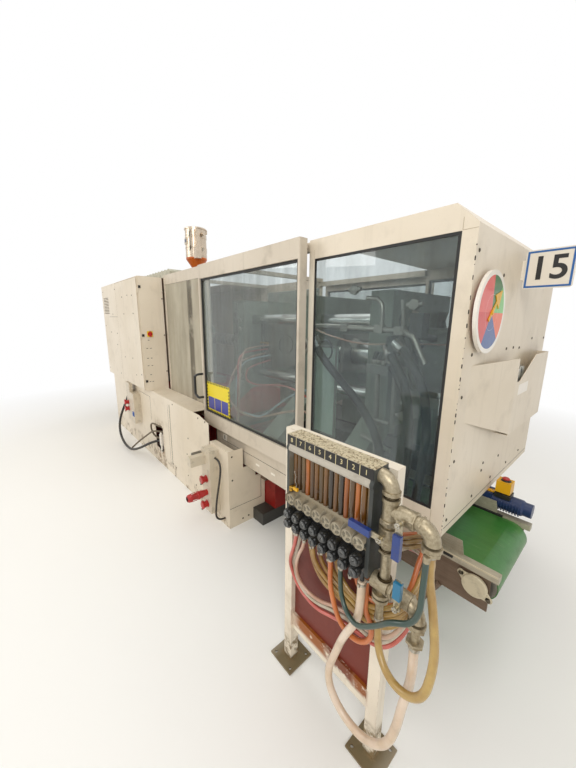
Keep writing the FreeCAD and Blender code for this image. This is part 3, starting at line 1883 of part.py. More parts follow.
def fluted_knob(label, place):
    """One knob: a turned grip on its spindle, with flutes cut round the grip."""
    profile = [
        ("0", "0"),
        ("knob_radius * 0.5", "0"),
        ("knob_radius * 0.55", "knob_length * 0.12"),
        ("knob_radius * 0.9", "knob_length * 0.12"),
        ("knob_radius", "knob_length * 0.25"),
        ("knob_radius * 0.92", "knob_length * 0.8"),
        ("knob_radius * 0.5", "knob_length * 0.8"),
        ("knob_radius * 0.5", "knob_length + manifold_depth * 0.5"),
        ("0", "knob_length + manifold_depth * 0.5"),
    ]
    body = turned(label, profile, "y", place)
    ring = [(("knob_radius * 1.08", "0"), "knob_radius * 0.2")]
    flute = bore(body, f"{label}_flute", "XY", ring, "knob_length * 0.85")
    pattern = body.newObject("PartDesign::PolarPattern", f"{label}_flutes")
    pattern.Originals = [flute]
    pattern.Axis = (origin_plane(body, "Z_Axis"), [""])
    pattern.Angle = 360
    bind(pattern, "Occurrences", "knob_grooves")
    body.Tip = pattern
    return body


def make_knobs():
    """Sixteen fluted knobs in two rows under the bottles, each with its capped spindle."""
    knobs = []
    for i in range(SIZES["circuits"]):
        for j in range(2):
            x = f"manifold_left + end_post + ({i} + 0.5) * circuit_pitch"
            z = f"bottle_bottom - knob_edge - {j} * knob_drop"
            face = "-manifold_face - knob_stand - knob_length"
            knobs.append(fluted_knob(f"knob_{i}{j}", (x, face, z)))
    ys = ("-manifold_face + bottle_proud", "-manifold_face + manifold_depth - port_radius")
    bar = box(
        "knob_rail",
        ("manifold_left + end_post", "manifold_right - end_post"),
        ys,
        (RAIL_BOTTOM, "bottle_bottom - seat_gap"),
    )
    knobs.append(bar)
    for i in range(SIZES["circuits"]):
        for j in range(2):
            x = f"manifold_left + end_post + ({i} + 0.5) * circuit_pitch"
            place = (
                x,
                f"-manifold_face + spout_front + {j} * spout_back",
                f"{RAIL_BOTTOM} - spout_length",
            )
            knobs.append(rod(f"knob_spout_{i}{j}", place, "spout_radius", "spout_length", "z"))
    keep(join("knob_set", knobs), "manifold_knobs")


def make_pipework():
    """Galvanised elbows, tees, unions and valve bodies at the manifold's right end."""
    head = "manifold_top - manifold_head / 2"
    bottom = "valve_z - valve_reach"
    items = [
        elbow_piece(
            "pipe_top_elbow",
            size("manifold_right"),
            size("manifold_top") - size("manifold_head") / 2,
        )
    ]
    items.append(
        rod(
            "pipe_down",
            (PIPE_X, "pipe_y", bottom),
            "pipe_radius",
            f"{head} - elbow_bend - ({bottom})",
            "z",
        )
    )
    above = "tee_z + tee_length / 2"
    below = f"tee_z - tee_length / 2 - bead_width"
    union = "valve_z - valve_half - bead_width"
    for i, z in enumerate((f"{above} + 2 * bead_width", above, below, union)):
        items.append(rod(f"pipe_bead_{i}", (PIPE_X, "pipe_y", z), "bead_radius", "bead_width", "z"))
    items.append(
        rod(
            "pipe_tee",
            (PIPE_X, "pipe_y", "tee_z - tee_length / 2"),
            "pipe_radius + tee_wall",
            "tee_length",
            "z",
        )
    )
    items.append(
        rod(
            "pipe_valve",
            (PIPE_X, "pipe_y", "valve_z - valve_half"),
            "valve_radius",
            "2 * valve_half",
            "z",
        )
    )
    items.append(
        rod("pipe_branch", (PIPE_X, "pipe_y", "tee_z"), "pipe_radius", f"branch_end - ({PIPE_X})")
    )
    items.append(
        rod(
            "branch_bead",
            (f"{PIPE_X} + tee_length / 2", "pipe_y", "tee_z"),
            "bead_radius",
            "bead_width",
        )
    )
    items.append(
        rod(
            "branch_valve",
            (f"{BRANCH_X} - valve_half", "pipe_y", "tee_z"),
            "bead_radius",
            "2 * valve_half",
        )
    )
    items.append(elbow_piece("branch_elbow", size("branch_end") - size("bead_width"), size("tee_z")))
    tail = ("branch_end - bead_width + elbow_bend", "pipe_y", "branch_tail_z")
    items.append(rod("branch_tail", tail, "tail_radius", "tee_z - elbow_bend - branch_tail_z", "z"))
    items.append(
        rod(
            "branch_tail_bead",
            (tail[0], "pipe_y", "tee_z - elbow_bend - 1.5 * bead_width"),
            "bead_radius",
            "bead_width",
            "z",
        )
    )
    side = (tail[0], "pipe_y - port_reach", "branch_tail_z + port_radius")
    items.append(rod("branch_port", side, "port_radius", "port_reach", "y"))
    items.append(
        rod("branch_barb", (tail[0], side[1], "branch_tail_z"), "port_radius", "port_radius * 2", "z")
    )
    items += lower_pipes()
    keep(join("pipe_whole", items + valve_stems()), "pipework")
    make_levers()


def valve_stems():
    """The short square-on stems that carry the three valve levers."""
    places = {
        "vertical": (PIPE_X, "valve_z"),
        "branch": (BRANCH_X, "tee_z"),
        "lower": ("lower_valve_x", "lower_z"),
    }
    stems = []
    for name, (x, z) in places.items():
        start = (x, f"pipe_y - {STEM}", z)
        stems.append(rod(f"stem_{name}", start, "lever_thick", STEM, "y"))
    return stems


def lower_pipes():
    """The return line: a thick hose piece down to it, its drop, its valve and its tail."""
    start = "manifold_right"
    drop_x = f"{start} + drop_offset"
    items = [rod("lower_stub", (start, "pipe_y", "lower_z"), "pipe_radius", f"lower_end - {start}")]
    items.append(
        rod(
            "lower_feed",
            (PIPE_X, "pipe_y", "lower_z"),
            "feed_hose_radius",
            "valve_z - valve_reach - lower_z",
            "z",
        )
    )
    items.append(
        rod("lower_drop", (drop_x, "pipe_y", "lower_z - drop_length"), "tail_radius", "drop_length", "z")
    )
    for i in range(2):
        place = (drop_x, "pipe_y", f"lower_z - bead_radius - {1.5 * i + 0.5} * bead_width - bead_width")
        items.append(rod(f"lower_bead_{i}", place, "bead_radius", "bead_width", "z"))
    items.append(
        rod("lower_tee", (f"{start} + 2 * seat_gap", "pipe_y", "lower_z"), "bead_radius", "tee_length")
    )
    items.append(
        rod(
            "lower_valve",
            ("lower_valve_x - valve_half", "pipe_y", "lower_z"),
            "bead_radius",
            "2 * valve_half",
        )
    )
    items.append(elbow_piece("lower_elbow", size("lower_end") - size("bead_width"), size("lower_z")))
    tail = ("lower_end - bead_width + elbow_bend", "pipe_y", "lower_z - drop_length - drop_lap")
    items.append(rod("lower_tail", tail, "tail_radius", "drop_length - elbow_bend + drop_lap", "z"))
    items.append(
        rod(
            "lower_tail_bead",
            (tail[0], "pipe_y", "lower_z - elbow_bend - 1.5 * bead_width"),
            "bead_radius",
            "bead_width",
            "z",
        )
    )
    return items


def elbow_piece(label, x, z):
    """A cast quarter bend that leads a pipe from along the machine to straight down."""
    radius = size("pipe_radius") + size("tee_wall") * 0.75
    bend = size("elbow_bend")
    y = size("pipe_y")
    item = doc.addObject("Part::Feature", label)
    first = FreeCAD.Vector(x, y, z)
    last = FreeCAD.Vector(x + bend, y, z - bend)
    share = bend * math.sqrt(0.5)
    middle = FreeCAD.Vector(x + share, y, z - bend + share)
    path = Part.Wire([Part.Arc(first, middle, last).toShape()])
    ring = Part.Wire([Part.makeCircle(radius, first, FreeCAD.Vector(1, 0, 0))])
    item.Shape = path.makePipeShell([ring], True, False)
    item.Placement = FreeCAD.Placement()
    return item


def make_levers():
    """The three valve levers, each a cranked flat bar on its valve's stem."""
    y_out = f"pipe_y - {STEM} - seat_gap"
    pivots = (
        ("valve_lever_main", PIPE_X, "valve_z", "left"),
        ("valve_lever_branch", BRANCH_X, "tee_z", "down"),
        ("valve_lever_return", "lower_valve_x", "lower_z", "up"),
    )
    half = "lever_width / 2"
    for name, x, z, way in pivots:
        if way == "left":
            xs, zs = (f"{x} - lever_reach", f"{x} + {half}"), (f"{z} - {half}", f"{z} + {half}")
        elif way == "down":
            xs, zs = (f"{x} - {half}", f"{x} + {half}"), (f"{z} - lever_reach", f"{z} + {half}")
        else:
            xs, zs = (f"{x} - {half}", f"{x} + {half}"), (f"{z} - {half}", f"{z} + lever_reach * 0.8")
        body = plate(f"{name}_bar", "XZ", [rectangle(*xs, *zs)], f"{y_out} - lever_thick", y_out)
        soften(body, "lever_width / 4", FreeCAD.Vector(0, 1, 0))
        nut = rod(
            f"{name}_nut",
            (x, f"{y_out} - 2.5 * lever_thick", z),
            "lever_width / 3",
            "2 * lever_thick",
            "y",
        )
        keep(join(f"{name}_whole", [body, nut]), name)


# ---------------------------------------------------------------- conveyor


def make_conveyor():
    """The take-off conveyor: side plates, capping profiles, fences, belt, rollers and legs."""
    near = "belt_near - side_profile"
    far = "belt_far + side_profile"
    axle = "belt_top - belt_thick - roller_radius"
    items = []
    for name, ys in (
        ("near", (f"{near} + side_thick", f"{near} + 2 * side_thick")),
        ("far", (f"{far} - 2 * side_thick", f"{far} - side_thick")),
    ):
        sides = plate(
            f"side_plate_{name}",
            "XZ",
            [
                rectangle("side_left", "side_right", "side_bottom", "belt_top - 20"),
                (("roller_left", axle), "shaft_radius + roller_play"),
                (("roller_right", axle), "shaft_radius + roller_play"),
            ],
            *ys,
        )
        items.append(sides)
    for name, ys in (("near", (near, "belt_near - 2")), ("far", ("belt_far + 2", far))):
        xs = ("side_left", "side_right + 30")
        items.append(box(f"capping_{name}", xs, ys, ("belt_top - 20", "belt_top + 12")))
    for name, low in (("near", "belt_near - 8"), ("far", "belt_far + 4")):
        outline = [
            ("side_left", "belt_top + 12"),
            ("fence_end", "belt_top + 12"),
            ("fence_end - 14", "fence_top"),
            ("side_left", "fence_top"),
        ]
        items.append(plate(f"fence_{name}", "XZ", [outline], low, f"{low} + 4"))
    shelf = (f"{near} + side_thick", f"{far} - side_thick")
    items.append(
        box(
            "conveyor_shoe",
            ("sill_end + shoe_inset", "foot_end - shoe_inset"),
            shelf,
            ("sill_height + seat_gap", "side_bottom + seat_gap * 10"),
        )
    )
    for i, y in enumerate((f"{near} + side_thick * 1.5", f"{far} - side_thick * 1.5")):
        items.append(leg_piece(f"conveyor_leg_{i}", i))
    foot_x = ("leg_foot - leg_radius * 2", "leg_foot + leg_radius * 2")
    items.append(box("conveyor_foot", foot_x, shelf, ("0", "leg_radius")))
    caps = bearing_cap(axle, near)
    items += caps
    keep(join("conveyor_whole", items), "conveyor_frame")
    make_belt(axle)
    for name, x in (("drive_roller", "roller_right"), ("idler_roller", "roller_left")):
        core = "belt_near + roller_play"
        length = "belt_far - belt_near - 2 * roller_play"
        drum = rod(f"{name}_drum", (x, core, axle), "roller_radius - roller_play", length, "y")
        start = f"{near} + side_thick + roller_play"
        shaft = rod(
            f"{name}_shaft",
            (x, start, axle),
            "shaft_radius",
            f"{far} - side_thick - roller_play - ({start})",
            "y",
        )
        keep(join(f"{name}_whole", [drum, shaft]), name)


def leg_piece(label, side):
    """One inclined round leg of the conveyor."""
    near = size("belt_near") - size("side_profile") + 1.5 * size("side_thick")
    far = size("belt_far") + size("side_profile") - 1.5 * size("side_thick")
    y = (near, far)[side]
    head = FreeCAD.Vector(size("leg_head"), y, size("side_bottom") + 4)
    foot = FreeCAD.Vector(size("leg_foot"), y, 10)
    item = doc.addObject("Part::Feature", label)
    item.Shape = Part.makeCylinder(size("leg_radius"), (head - foot).Length, foot, head - foot)
    return item


def bearing_cap(axle, near):
    """The flanged bearing covers on both ends of the drive roller."""
    items = []
    face = f"{near} + side_thick - cap_thick"
    items.append(rod("bearing_cap_near", ("roller_right", face, axle), "cap_radius", "cap_thick", "y"))
    ear = "cap_radius * 1.05"
    for i, sign in enumerate(("-", "+")):
        place = (f"roller_right {sign} {ear}", f"{face} + cap_thick / 2", f"{axle} {sign} {ear} * -0.6")
        items.append(rod(f"bearing_ear_{i}", place, "cap_radius / 4", "cap_thick / 2", "y"))
    return items


def make_belt(axle):
    """The belt: a closed loop round both rollers."""
    item = doc.addObject("Part::Feature", "belt_loop")
    left, right = size("roller_left"), size("roller_right")
    z = size("belt_top") - size("belt_thick") - size("roller_radius")
    near, far = size("belt_near"), size("belt_far")
    loops = []
    for radius in (size("roller_radius") + size("belt_thick"), size("roller_radius")):
        upper = (FreeCAD.Vector(left, near, z + radius), FreeCAD.Vector(right, near, z + radius))
        lower = (FreeCAD.Vector(right, near, z - radius), FreeCAD.Vector(left, near, z - radius))
        edges = [
            Part.LineSegment(*upper).toShape(),
            Part.Arc(upper[1], FreeCAD.Vector(right + radius, near, z), lower[0]).toShape(),
            Part.LineSegment(*lower).toShape(),
            Part.Arc(lower[1], FreeCAD.Vector(left - radius, near, z), upper[0]).toShape(),
        ]
        loops.append(Part.Face(Part.Wire(edges)))
    item.Shape = loops[0].cut(loops[1]).extrude(FreeCAD.Vector(0, far - near, 0))
    item.Placement = FreeCAD.Placement()
    keep(item, "conveyor_belt")


def make_conveyor_motor():
    """The blue gearmotor on the far capping, and the stop box above it."""
    far = "belt_far + side_profile"
    gear = box(
        "gearbox",
        ("gearmotor_x - motor_gear", "gearmotor_x"),
        ("belt_far + 10", f"{far} + 60"),
        ("belt_top + 12 + seat_gap", "gearmotor_z + gearmotor_radius"),
    )
    motor = turned(
        "gearmotor_body",
        [
            ("0", "0"),
            ("gearmotor_radius", "0"),
            ("gearmotor_radius", "gearmotor_length * 0.75"),
            ("gearmotor_radius * 0.85", "gearmotor_length * 0.8"),
            ("gearmotor_radius * 0.85", "gearmotor_length"),
            ("0", "gearmotor_length"),
        ],
        "x",
        ("gearmotor_x", f"{far} + 18", "gearmotor_z"),
    )
    keep(join("gearmotor_whole", [gear, motor]), "conveyor_motor")
    xs = ("stop_x", "stop_x + stop_side")
    ys = ("stop_y", "stop_y + stop_side")
    case = box("stop_case", xs, ys, ("stop_z", "stop_z + stop_height"))
    widths = ("stop_y + stop_side / 4", "stop_y + stop_side * 0.6")
    top = "gearmotor_z + gearmotor_radius"
    post = box("stop_post", ("stop_x", "stop_x + stop_strap"), widths, (f"{top} + seat_gap", "stop_z"))
    spans = ("gearmotor_x - motor_gear", "stop_x + stop_strap")
    foot = box("stop_foot", spans, widths, (f"{top} + seat_gap", f"{top} + stop_strap"))
    middle = ("stop_x + stop_side / 2", "stop_y + stop_side / 2", "stop_z + stop_height - button_well")
    well = rod("stop_well", middle, "button_radius * 0.6 + tie_play", "button_well + 1", "z")
    keep(cut("stop_whole", join("stop_joined", [case, post, foot]), [well]), "stop_box")
    top = "stop_z + stop_height"
    stem = rod(
        "button_stem",
        (middle[0], middle[1], f"{top} - button_well * 0.7"),
        "button_radius * 0.6",
        "button_height",
        "z",
    )
    head = turned(
        "button_head",
        [
            ("0", "0"),
            ("button_radius * 0.8", "0"),
            ("button_radius", "button_height * 0.15"),
            ("button_radius", "button_height * 0.35"),
            ("button_radius * 0.7", "button_height * 0.5"),
            ("0", "button_height * 0.5"),
        ],
        "z",
        (middle[0], middle[1], f"{top} + button_travel + 1"),
    )
    keep(join("button_whole", [stem, head]), "stop_button")


# ---------------------------------------------------------------- hoses and cables

HOSES = {
    "hose_white": (15, [
        (2564, -1325, 843), (2564, -1325, 725), (2551, -1328, 655), (2508, -1335, 560), (
            2474,
            -1342,
            450,
        ),
        (2455, -1345, 350), (2474, -1345, 258), (2540, -1345, 196), (2632, -1343, 198), (
            2702,
            -1338,
            276,
        ),
        (2736, -1330, 385), (2752, -1320, 500), (2758, -1311, 610), (2758, -1311, 720),
    ]),
    "hose_green": (9, [
        (2776, -1340, 1066), (2776, -1340, 1020), (2784, -1346, 965), (2780, -1354, 905), (
            2750,
            -1360,
            853,
        ),
        (2702, -1362, 808), (2658, -1362, 762), (2620, -1360, 722), (2577, -1358, 692), (
            2532,
            -1348,
            689,
        ),
        (2492, -1336, 709), (2468, -1325, 747), (2468, -1325, 843),
    ]),
    "hose_amber": (13, [
        (2630, -1311, 722), (2630, -1311, 668), (2650, -1328, 608), (2706, -1348, 579), (
            2770,
            -1362,
            592,
        ),
        (2812, -1356, 641), (2824, -1342, 712), (2818, -1326, 790), (2806, -1316, 868), (
            2790,
            -1311,
            940,
        ),
        (2776, -1311, 1005), (2776, -1311, 1066),
    ]),
    "hose_orange": (10, [
        (2420, -1325, 843), (2420, -1325, 735), (2428, -1317, 675), (2446, -1307, 612), (
            2471,
            -1300,
            559,
        ),
        (2517, -1298, 538), (2565, -1297, 552), (2593, -1296, 593), (2588, -1295, 650), (
            2574,
            -1295,
            702,
        ),
        (2564, -1295, 745), (2564, -1295, 843),
    ]),
    "hose_grey": (10, [
        (2038, -718, 560), (2038, -718, 500), (2040, -745, 430), (2046, -800, 360), (2058, -880, 300),
        (2085, -965, 265), (2130, -1045, 252), (2185, -1105, 266), (2232, -1145, 320), (
            2262,
            -1160,
            395,
        ),
        (2272, -1168, 480), (2277, -1162, 570), (2272, -1168, 660), (2277, -1162, 750), (
            2276,
            -1165,
            835,
        ),
        (2276, -1165, 954), (2276, -1185, 989), (2276, -1220, 1009), (2276, -1255, 1009),
    ]),
    "cable_right": (8, [
        (878, -1000, 600), (915, -1000, 600), (949, -1000, 583), (971, -1003, 552), (976, -1008, 500),
        (974, -1018, 430), (968, -1030, 350), (960, -1040, 270), (955, -1047, 190), (954, -1050, 118),
        (954, -1031, 85), (954, -998, 66), (954, -965, 66),
    ]),
    "cable_bundle": (15, [
        (-1610, -992, 880), (-1610, -992, 800), (-1622, -1004, 710), (-1645, -1035, 600), (
            -1672,
            -1078,
            490,
        ),
        (-1695, -1120, 370), (-1690, -1150, 250), (-1640, -1162, 140), (-1530, -1165, 70), (
            -1390,
            -1165,
            42,
        ),
        (-1240, -1163, 40), (-1090, -1156, 62), (-950, -1140, 110), (-820, -1112, 170), (
            -710,
            -1078,
            232,
        ),
        (-620, -1028, 282), (-550, -958, 306), (-510, -870, 314), (-500, -800, 312), (-500, -740, 312),
    ]),
}


def make_hoses():
    """Hoses and cables that hang free, each along its hand-laid route."""
    for label, (radius, points) in HOSES.items():
        keep(tube(f"{label}_tube", points, radius), label)


def check_and_write():
    """Stop on any failed object or bad solid, then write one file per sub-part."""
    doc.recompute()
    for item in doc.Objects:
        if "Invalid" in item.State or "Error" in item.State:
            raise RuntimeError(f"{item.Label} failed: {item.State}")
    os.makedirs("parts", exist_ok=True)
    for item in nodes:
        if item.Shape.isNull() or not item.Shape.isValid():
            raise RuntimeError(f"{item.Label} has no valid shape")
        item.Shape.exportStep(f"parts/{item.Label}.step")
    print(f"{len(nodes)} sub-parts written")


make_bed()
make_cladding()
make_end_block()
make_clamp_base()
make_guard_frames()
make_gates()
make_panes()
make_clamp_housing()
make_pocket()
make_dial()
make_sign()
make_platens()
make_tie_bars()
make_ram()
make_mould()
make_ejector()
make_injection_unit()
make_hopper()
make_loader()
make_rear_housing()
make_cabinet()
make_socket_boxes()
make_control_panel()
make_stand()
make_manifold()
make_pipework()
make_conveyor()
make_conveyor_motor()
make_hoses()
check_and_write()
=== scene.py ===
"""Looks of the injection moulding machine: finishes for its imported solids, hoses, cables and fine parts.

Places and sizes in the tables and shapes are millimetres in the machine's own frame, with +X toward
the clamp end and -Y toward the manifold. Zones of stain, lamps and the camera are in metres.
"""

import json
import math
import random

import bmesh
import bpy
from mathutils import Matrix, Vector


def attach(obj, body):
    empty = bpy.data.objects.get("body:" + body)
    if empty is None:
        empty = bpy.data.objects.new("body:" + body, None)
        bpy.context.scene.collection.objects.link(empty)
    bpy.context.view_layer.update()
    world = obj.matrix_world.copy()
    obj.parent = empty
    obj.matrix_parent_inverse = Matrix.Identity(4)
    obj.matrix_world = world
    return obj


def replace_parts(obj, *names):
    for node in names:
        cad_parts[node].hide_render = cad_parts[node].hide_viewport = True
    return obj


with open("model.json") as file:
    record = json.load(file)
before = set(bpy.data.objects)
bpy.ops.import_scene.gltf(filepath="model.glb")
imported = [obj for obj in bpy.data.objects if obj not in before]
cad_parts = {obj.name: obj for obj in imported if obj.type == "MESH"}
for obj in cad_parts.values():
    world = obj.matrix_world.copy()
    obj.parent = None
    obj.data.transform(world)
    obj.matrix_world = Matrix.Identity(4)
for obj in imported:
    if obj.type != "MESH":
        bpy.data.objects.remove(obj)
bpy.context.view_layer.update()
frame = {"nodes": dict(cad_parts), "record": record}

nodes = frame["nodes"]


# ---------------------------------------------------------------- camera

CAMERA_PLACE = (3.084, -2.1345, 1.73)
CAMERA_RIGHT = Vector((0.65805652, 0.75290594, 0.00970905))
CAMERA_DOWN = Vector((0.15802568, -0.12548779, -0.97942876))
CAMERA_AHEAD = Vector((-0.73619936, 0.64605376, -0.20155654))


def set_camera():
    """The photograph's own view, from beside the manifold stand."""
    data = bpy.data.cameras.new("photo_camera")
    data.sensor_width = 36
    data.lens = 14.544
    data.clip_end = 200
    camera = bpy.data.objects.new("photo_camera", data)
    turn = Matrix((CAMERA_RIGHT, -CAMERA_DOWN, -CAMERA_AHEAD)).transposed().to_4x4()
    camera.matrix_world = Matrix.Translation(CAMERA_PLACE) @ turn
    bpy.context.scene.collection.objects.link(camera)
    bpy.context.scene.camera = camera


# ---------------------------------------------------------------- node helpers

NUMBER = "NodeSocketFloat"
COLOUR = "NodeSocketColor"
VECTOR = "NodeSocketVector"


def tone(red, green, blue):
    """A colour from a paint card, 0 to 255, as the linear values that shaders take."""
    parts = [part / 255 for part in (red, green, blue)]
    return [*(p / 12.92 if p <= 0.04045 else ((p + 0.055) / 1.055) ** 2.4 for p in parts), 1.0]


def put(tree, kind, inputs=None, **settings):
    """Add one node, set its own settings, and feed or set its inputs."""
    node = tree.nodes.new(kind)
    for name, value in settings.items():
        setattr(node, name, value)
    return feed(tree, node, inputs or {})


def feed(tree, node, inputs):
    """Link each input to a socket, or set it to a value."""
    for name, value in inputs.items():
        if isinstance(value, bpy.types.NodeSocket):
            tree.links.new(value, node.inputs[name])
        else:
            node.inputs[name].default_value = value
    return node


def blend(tree, mask, first, second, mode="MIX"):
    """Blend two colours by a mask."""
    inputs = {0: mask, 6: first, 7: second}
    return put(tree, "ShaderNodeMix", inputs, data_type="RGBA", blend_type=mode).outputs[2]


def calc(tree, operation, first, second=0.0, clamp=False):
    """One sum on one or two values."""
    return put(tree, "ShaderNodeMath", {0: first, 1: second}, operation=operation, use_clamp=clamp).outputs[0]


def move(tree, operation, first, second):
    """One sum on two vectors."""
    return put(tree, "ShaderNodeVectorMath", {0: first, 1: second}, operation=operation).outputs[0]


def span(tree, value, low, high, out_low=0.0, out_high=1.0):
    """Spread a value's range from low to high over another range, and hold it there."""
    inputs = {"Value": value, "From Min": low, "From Max": high, "To Min": out_low, "To Max": out_high}
    return put(tree, "ShaderNodeMapRange", inputs).outputs[0]


def cloud(tree, place, scale, detail=3.0, rough=0.5):
    """Soft random cloud over the surface."""
    inputs = {"Vector": place, "Scale": scale, "Detail": detail, "Roughness": rough}
    return put(tree, "ShaderNodeTexNoise", inputs).outputs["Fac"]


def own_place(tree):
    """The object's own coordinates, in metres of the machine's frame."""
    return put(tree, "ShaderNodeTexCoord").outputs["Object"]


def stretch(tree, place, scale):
    """Coordinates stretched along the axes."""
    return put(tree, "ShaderNodeMapping", {"Vector": place, "Scale": scale}).outputs[0]


def axes(tree, place):
    """The three parts of a place."""
    return put(tree, "ShaderNodeSeparateXYZ", {0: place}).outputs


def colour_steps(tree, value, steps):
    """Plain colours that follow each other along a value; steps are (start, colour)."""
    node = put(tree, "ShaderNodeValToRGB", {"Fac": value})
    ramp = node.color_ramp
    ramp.interpolation = "CONSTANT"
    for i, (start, colour) in enumerate(steps):
        stop = ramp.elements[i] if i < 2 else ramp.elements.new(start)
        stop.position = start
        stop.color = tone(*colour)
    return node.outputs[0]


def seen_rays(tree):
    """One for what the camera sees, straight, mirrored or through a pane."""
    path = put(tree, "ShaderNodeLightPath").outputs
    seen = calc(tree, "MAXIMUM", path["Is Camera Ray"], path["Is Glossy Ray"])
    return calc(tree, "MAXIMUM", seen, path["Is Transmission Ray"])


def split_surface(tree, share, first, second, end="Material Output"):
    """Share the surface between two shaders."""
    mixed = put(tree, "ShaderNodeMixShader", {0: share, 1: first, 2: second})
    tree.links.new(mixed.outputs[0], tree.nodes[end].inputs["Surface"])


# ---------------------------------------------------------------- shared effects


def start_group(name, inputs, outputs):
    """Begin an effect that several finishes share."""
    tree = bpy.data.node_groups.new(name, "ShaderNodeTree")
    for label, kind, value in inputs:
        socket = tree.interface.new_socket(name=label, in_out="INPUT", socket_type=kind)
        socket.default_value = value
    for label, kind in outputs:
        tree.interface.new_socket(name=label, in_out="OUTPUT", socket_type=kind)
    return tree, tree.nodes.new("NodeGroupInput").outputs, tree.nodes.new("NodeGroupOutput").inputs


def make_shop_wear():
    """Age of a shop-floor surface: mottled tone, drip marks and greasy blotches."""
    tree, given, out = start_group(
        "shop_wear",
        [
            ("Clean", COLOUR, (1, 1, 1, 1)),
            ("Faded", COLOUR, (1, 1, 1, 1)),
            ("Grime", COLOUR, (0.1, 0.1, 0.1, 1)),
            ("Grime Share", NUMBER, 0.3),
            ("Drips", NUMBER, 0.3),
            ("Spot Size", NUMBER, 6.0),
            ("Base Roughness", NUMBER, 0.4),
        ],
        [("Colour", COLOUR), ("Roughness", NUMBER), ("Height", NUMBER)],
    )
    place = own_place(tree)
    faded = span(tree, cloud(tree, place, 1.3, 4), 0.35, 0.68)
    body = blend(tree, faded, given["Clean"], given["Faded"])
    drip_place = stretch(tree, place, (16, 16, 0.8))
    drips = span(tree, cloud(tree, drip_place, 1, 4, 0.65), 0.56, 0.8)
    drips = calc(tree, "MULTIPLY", drips, given["Drips"])
    spots = span(tree, cloud(tree, place, given["Spot Size"], 7, 0.62), 0.54, 0.74)
    spots = calc(tree, "MULTIPLY", spots, given["Grime Share"])
    specks = span(tree, cloud(tree, place, 210, 2), 0.7, 0.76)
    specks = calc(tree, "MULTIPLY", specks, given["Grime Share"])
    dirt = calc(tree, "MAXIMUM", drips, spots)
    dirt = calc(tree, "MAXIMUM", dirt, specks, True)
    tree.links.new(blend(tree, dirt, body, given["Grime"]), out["Colour"])
    rough = calc(tree, "MULTIPLY", dirt, 0.3)
    fine = calc(tree, "MULTIPLY", cloud(tree, place, 40, 3), 0.12)
    rough = calc(tree, "ADD", calc(tree, "ADD", rough, fine), given["Base Roughness"], True)
    tree.links.new(rough, out["Roughness"])
    tree.links.new(cloud(tree, place, 620, 2), out["Height"])


def make_edge_rub():
    """Where edges are rubbed bare, and inner corners too: both found by how the surface turns near them."""
    inputs = [("Reach", NUMBER, 0.004), ("Share", NUMBER, 0.5)]
    tree, given, out = start_group("edge_rub", inputs, [("Mask", NUMBER)])
    rounded = put(tree, "ShaderNodeBevel", {"Radius": given["Reach"]}, samples=4).outputs[0]
    flat = put(tree, "ShaderNodeNewGeometry").outputs["Normal"]
    turned = put(tree, "ShaderNodeVectorMath", {0: rounded, 1: flat}, operation="DOT_PRODUCT")
    edge = span(tree, turned.outputs["Value"], 0.985, 0.9)
    torn = span(tree, cloud(tree, own_place(tree), 34, 5, 0.7), 0.42, 0.62)
    mask = calc(tree, "MULTIPLY", calc(tree, "MULTIPLY", edge, torn), given["Share"], True)
    tree.links.new(mask, out["Mask"])


def make_zone():
    """A soft-edged box in the machine's frame, torn at its border."""
    inputs = [
        ("Middle", VECTOR, (0, 0, 0)), ("Half", VECTOR, (1, 1, 1)), ("Torn", NUMBER, 12.0), ("Fill", NUMBER, 0.5),
    ]
    tree, given, out = start_group("zone", inputs, [("Mask", NUMBER)])
    place = own_place(tree)
    away = move(tree, "SUBTRACT", place, given["Middle"])
    away = move(tree, "DIVIDE", away, given["Half"])
    away = put(tree, "ShaderNodeVectorMath", {0: away}, operation="ABSOLUTE").outputs[0]
    parts = axes(tree, away)
    far = calc(tree, "MAXIMUM", calc(tree, "MAXIMUM", parts[0], parts[1]), parts[2])
    inside = span(tree, far, 1.0, 0.55)
    torn = cloud(tree, place, given["Torn"], 7, 0.66)
    level = calc(tree, "ADD", torn, calc(tree, "SUBTRACT", given["Fill"], 0.5))
    torn = span(tree, level, 0.46, 0.58)
    tree.links.new(calc(tree, "MULTIPLY", inside, torn, True), out["Mask"])


def make_grain():
    """Fine drawn or cast grain of metal, as a shade and a height."""
    inputs = [("Stretch", VECTOR, (1, 1, 1)), ("Fineness", NUMBER, 260.0)]
    tree, given, out = start_group("metal_grain", inputs, [("Shade", NUMBER), ("Height", NUMBER)])
    place = move(tree, "MULTIPLY", own_place(tree), given["Stretch"])
    fine = cloud(tree, place, given["Fineness"], 4, 0.6)
    wide = cloud(tree, place, 9.0, 5, 0.6)
    shade = calc(tree, "ADD", calc(tree, "MULTIPLY", fine, 0.5), calc(tree, "MULTIPLY", wide, 0.5))
    tree.links.new(span(tree, shade, 0.3, 0.7), out["Shade"])
    tree.links.new(fine, out["Height"])


def use(tree, group, **values):
    """Place one shared effect; an underscore stands for a space in an input's name."""
    node = put(tree, "ShaderNodeGroup", node_tree=bpy.data.node_groups[group])
    return feed(tree, node, {name.replace("_", " "): value for name, value in values.items()}).outputs


# ---------------------------------------------------------------- kinds of finish


def start_finish(name, **plain):
    """Begin one finish: its shader with the plain settings that don't vary."""
    skin = bpy.data.materials.new(name)
    skin.use_nodes = True
    tree = skin.node_tree
    shader = tree.nodes["Principled BSDF"]
    feed(tree, shader, {key.replace("_", " "): value for key, value in plain.items()})
    return skin, tree, shader


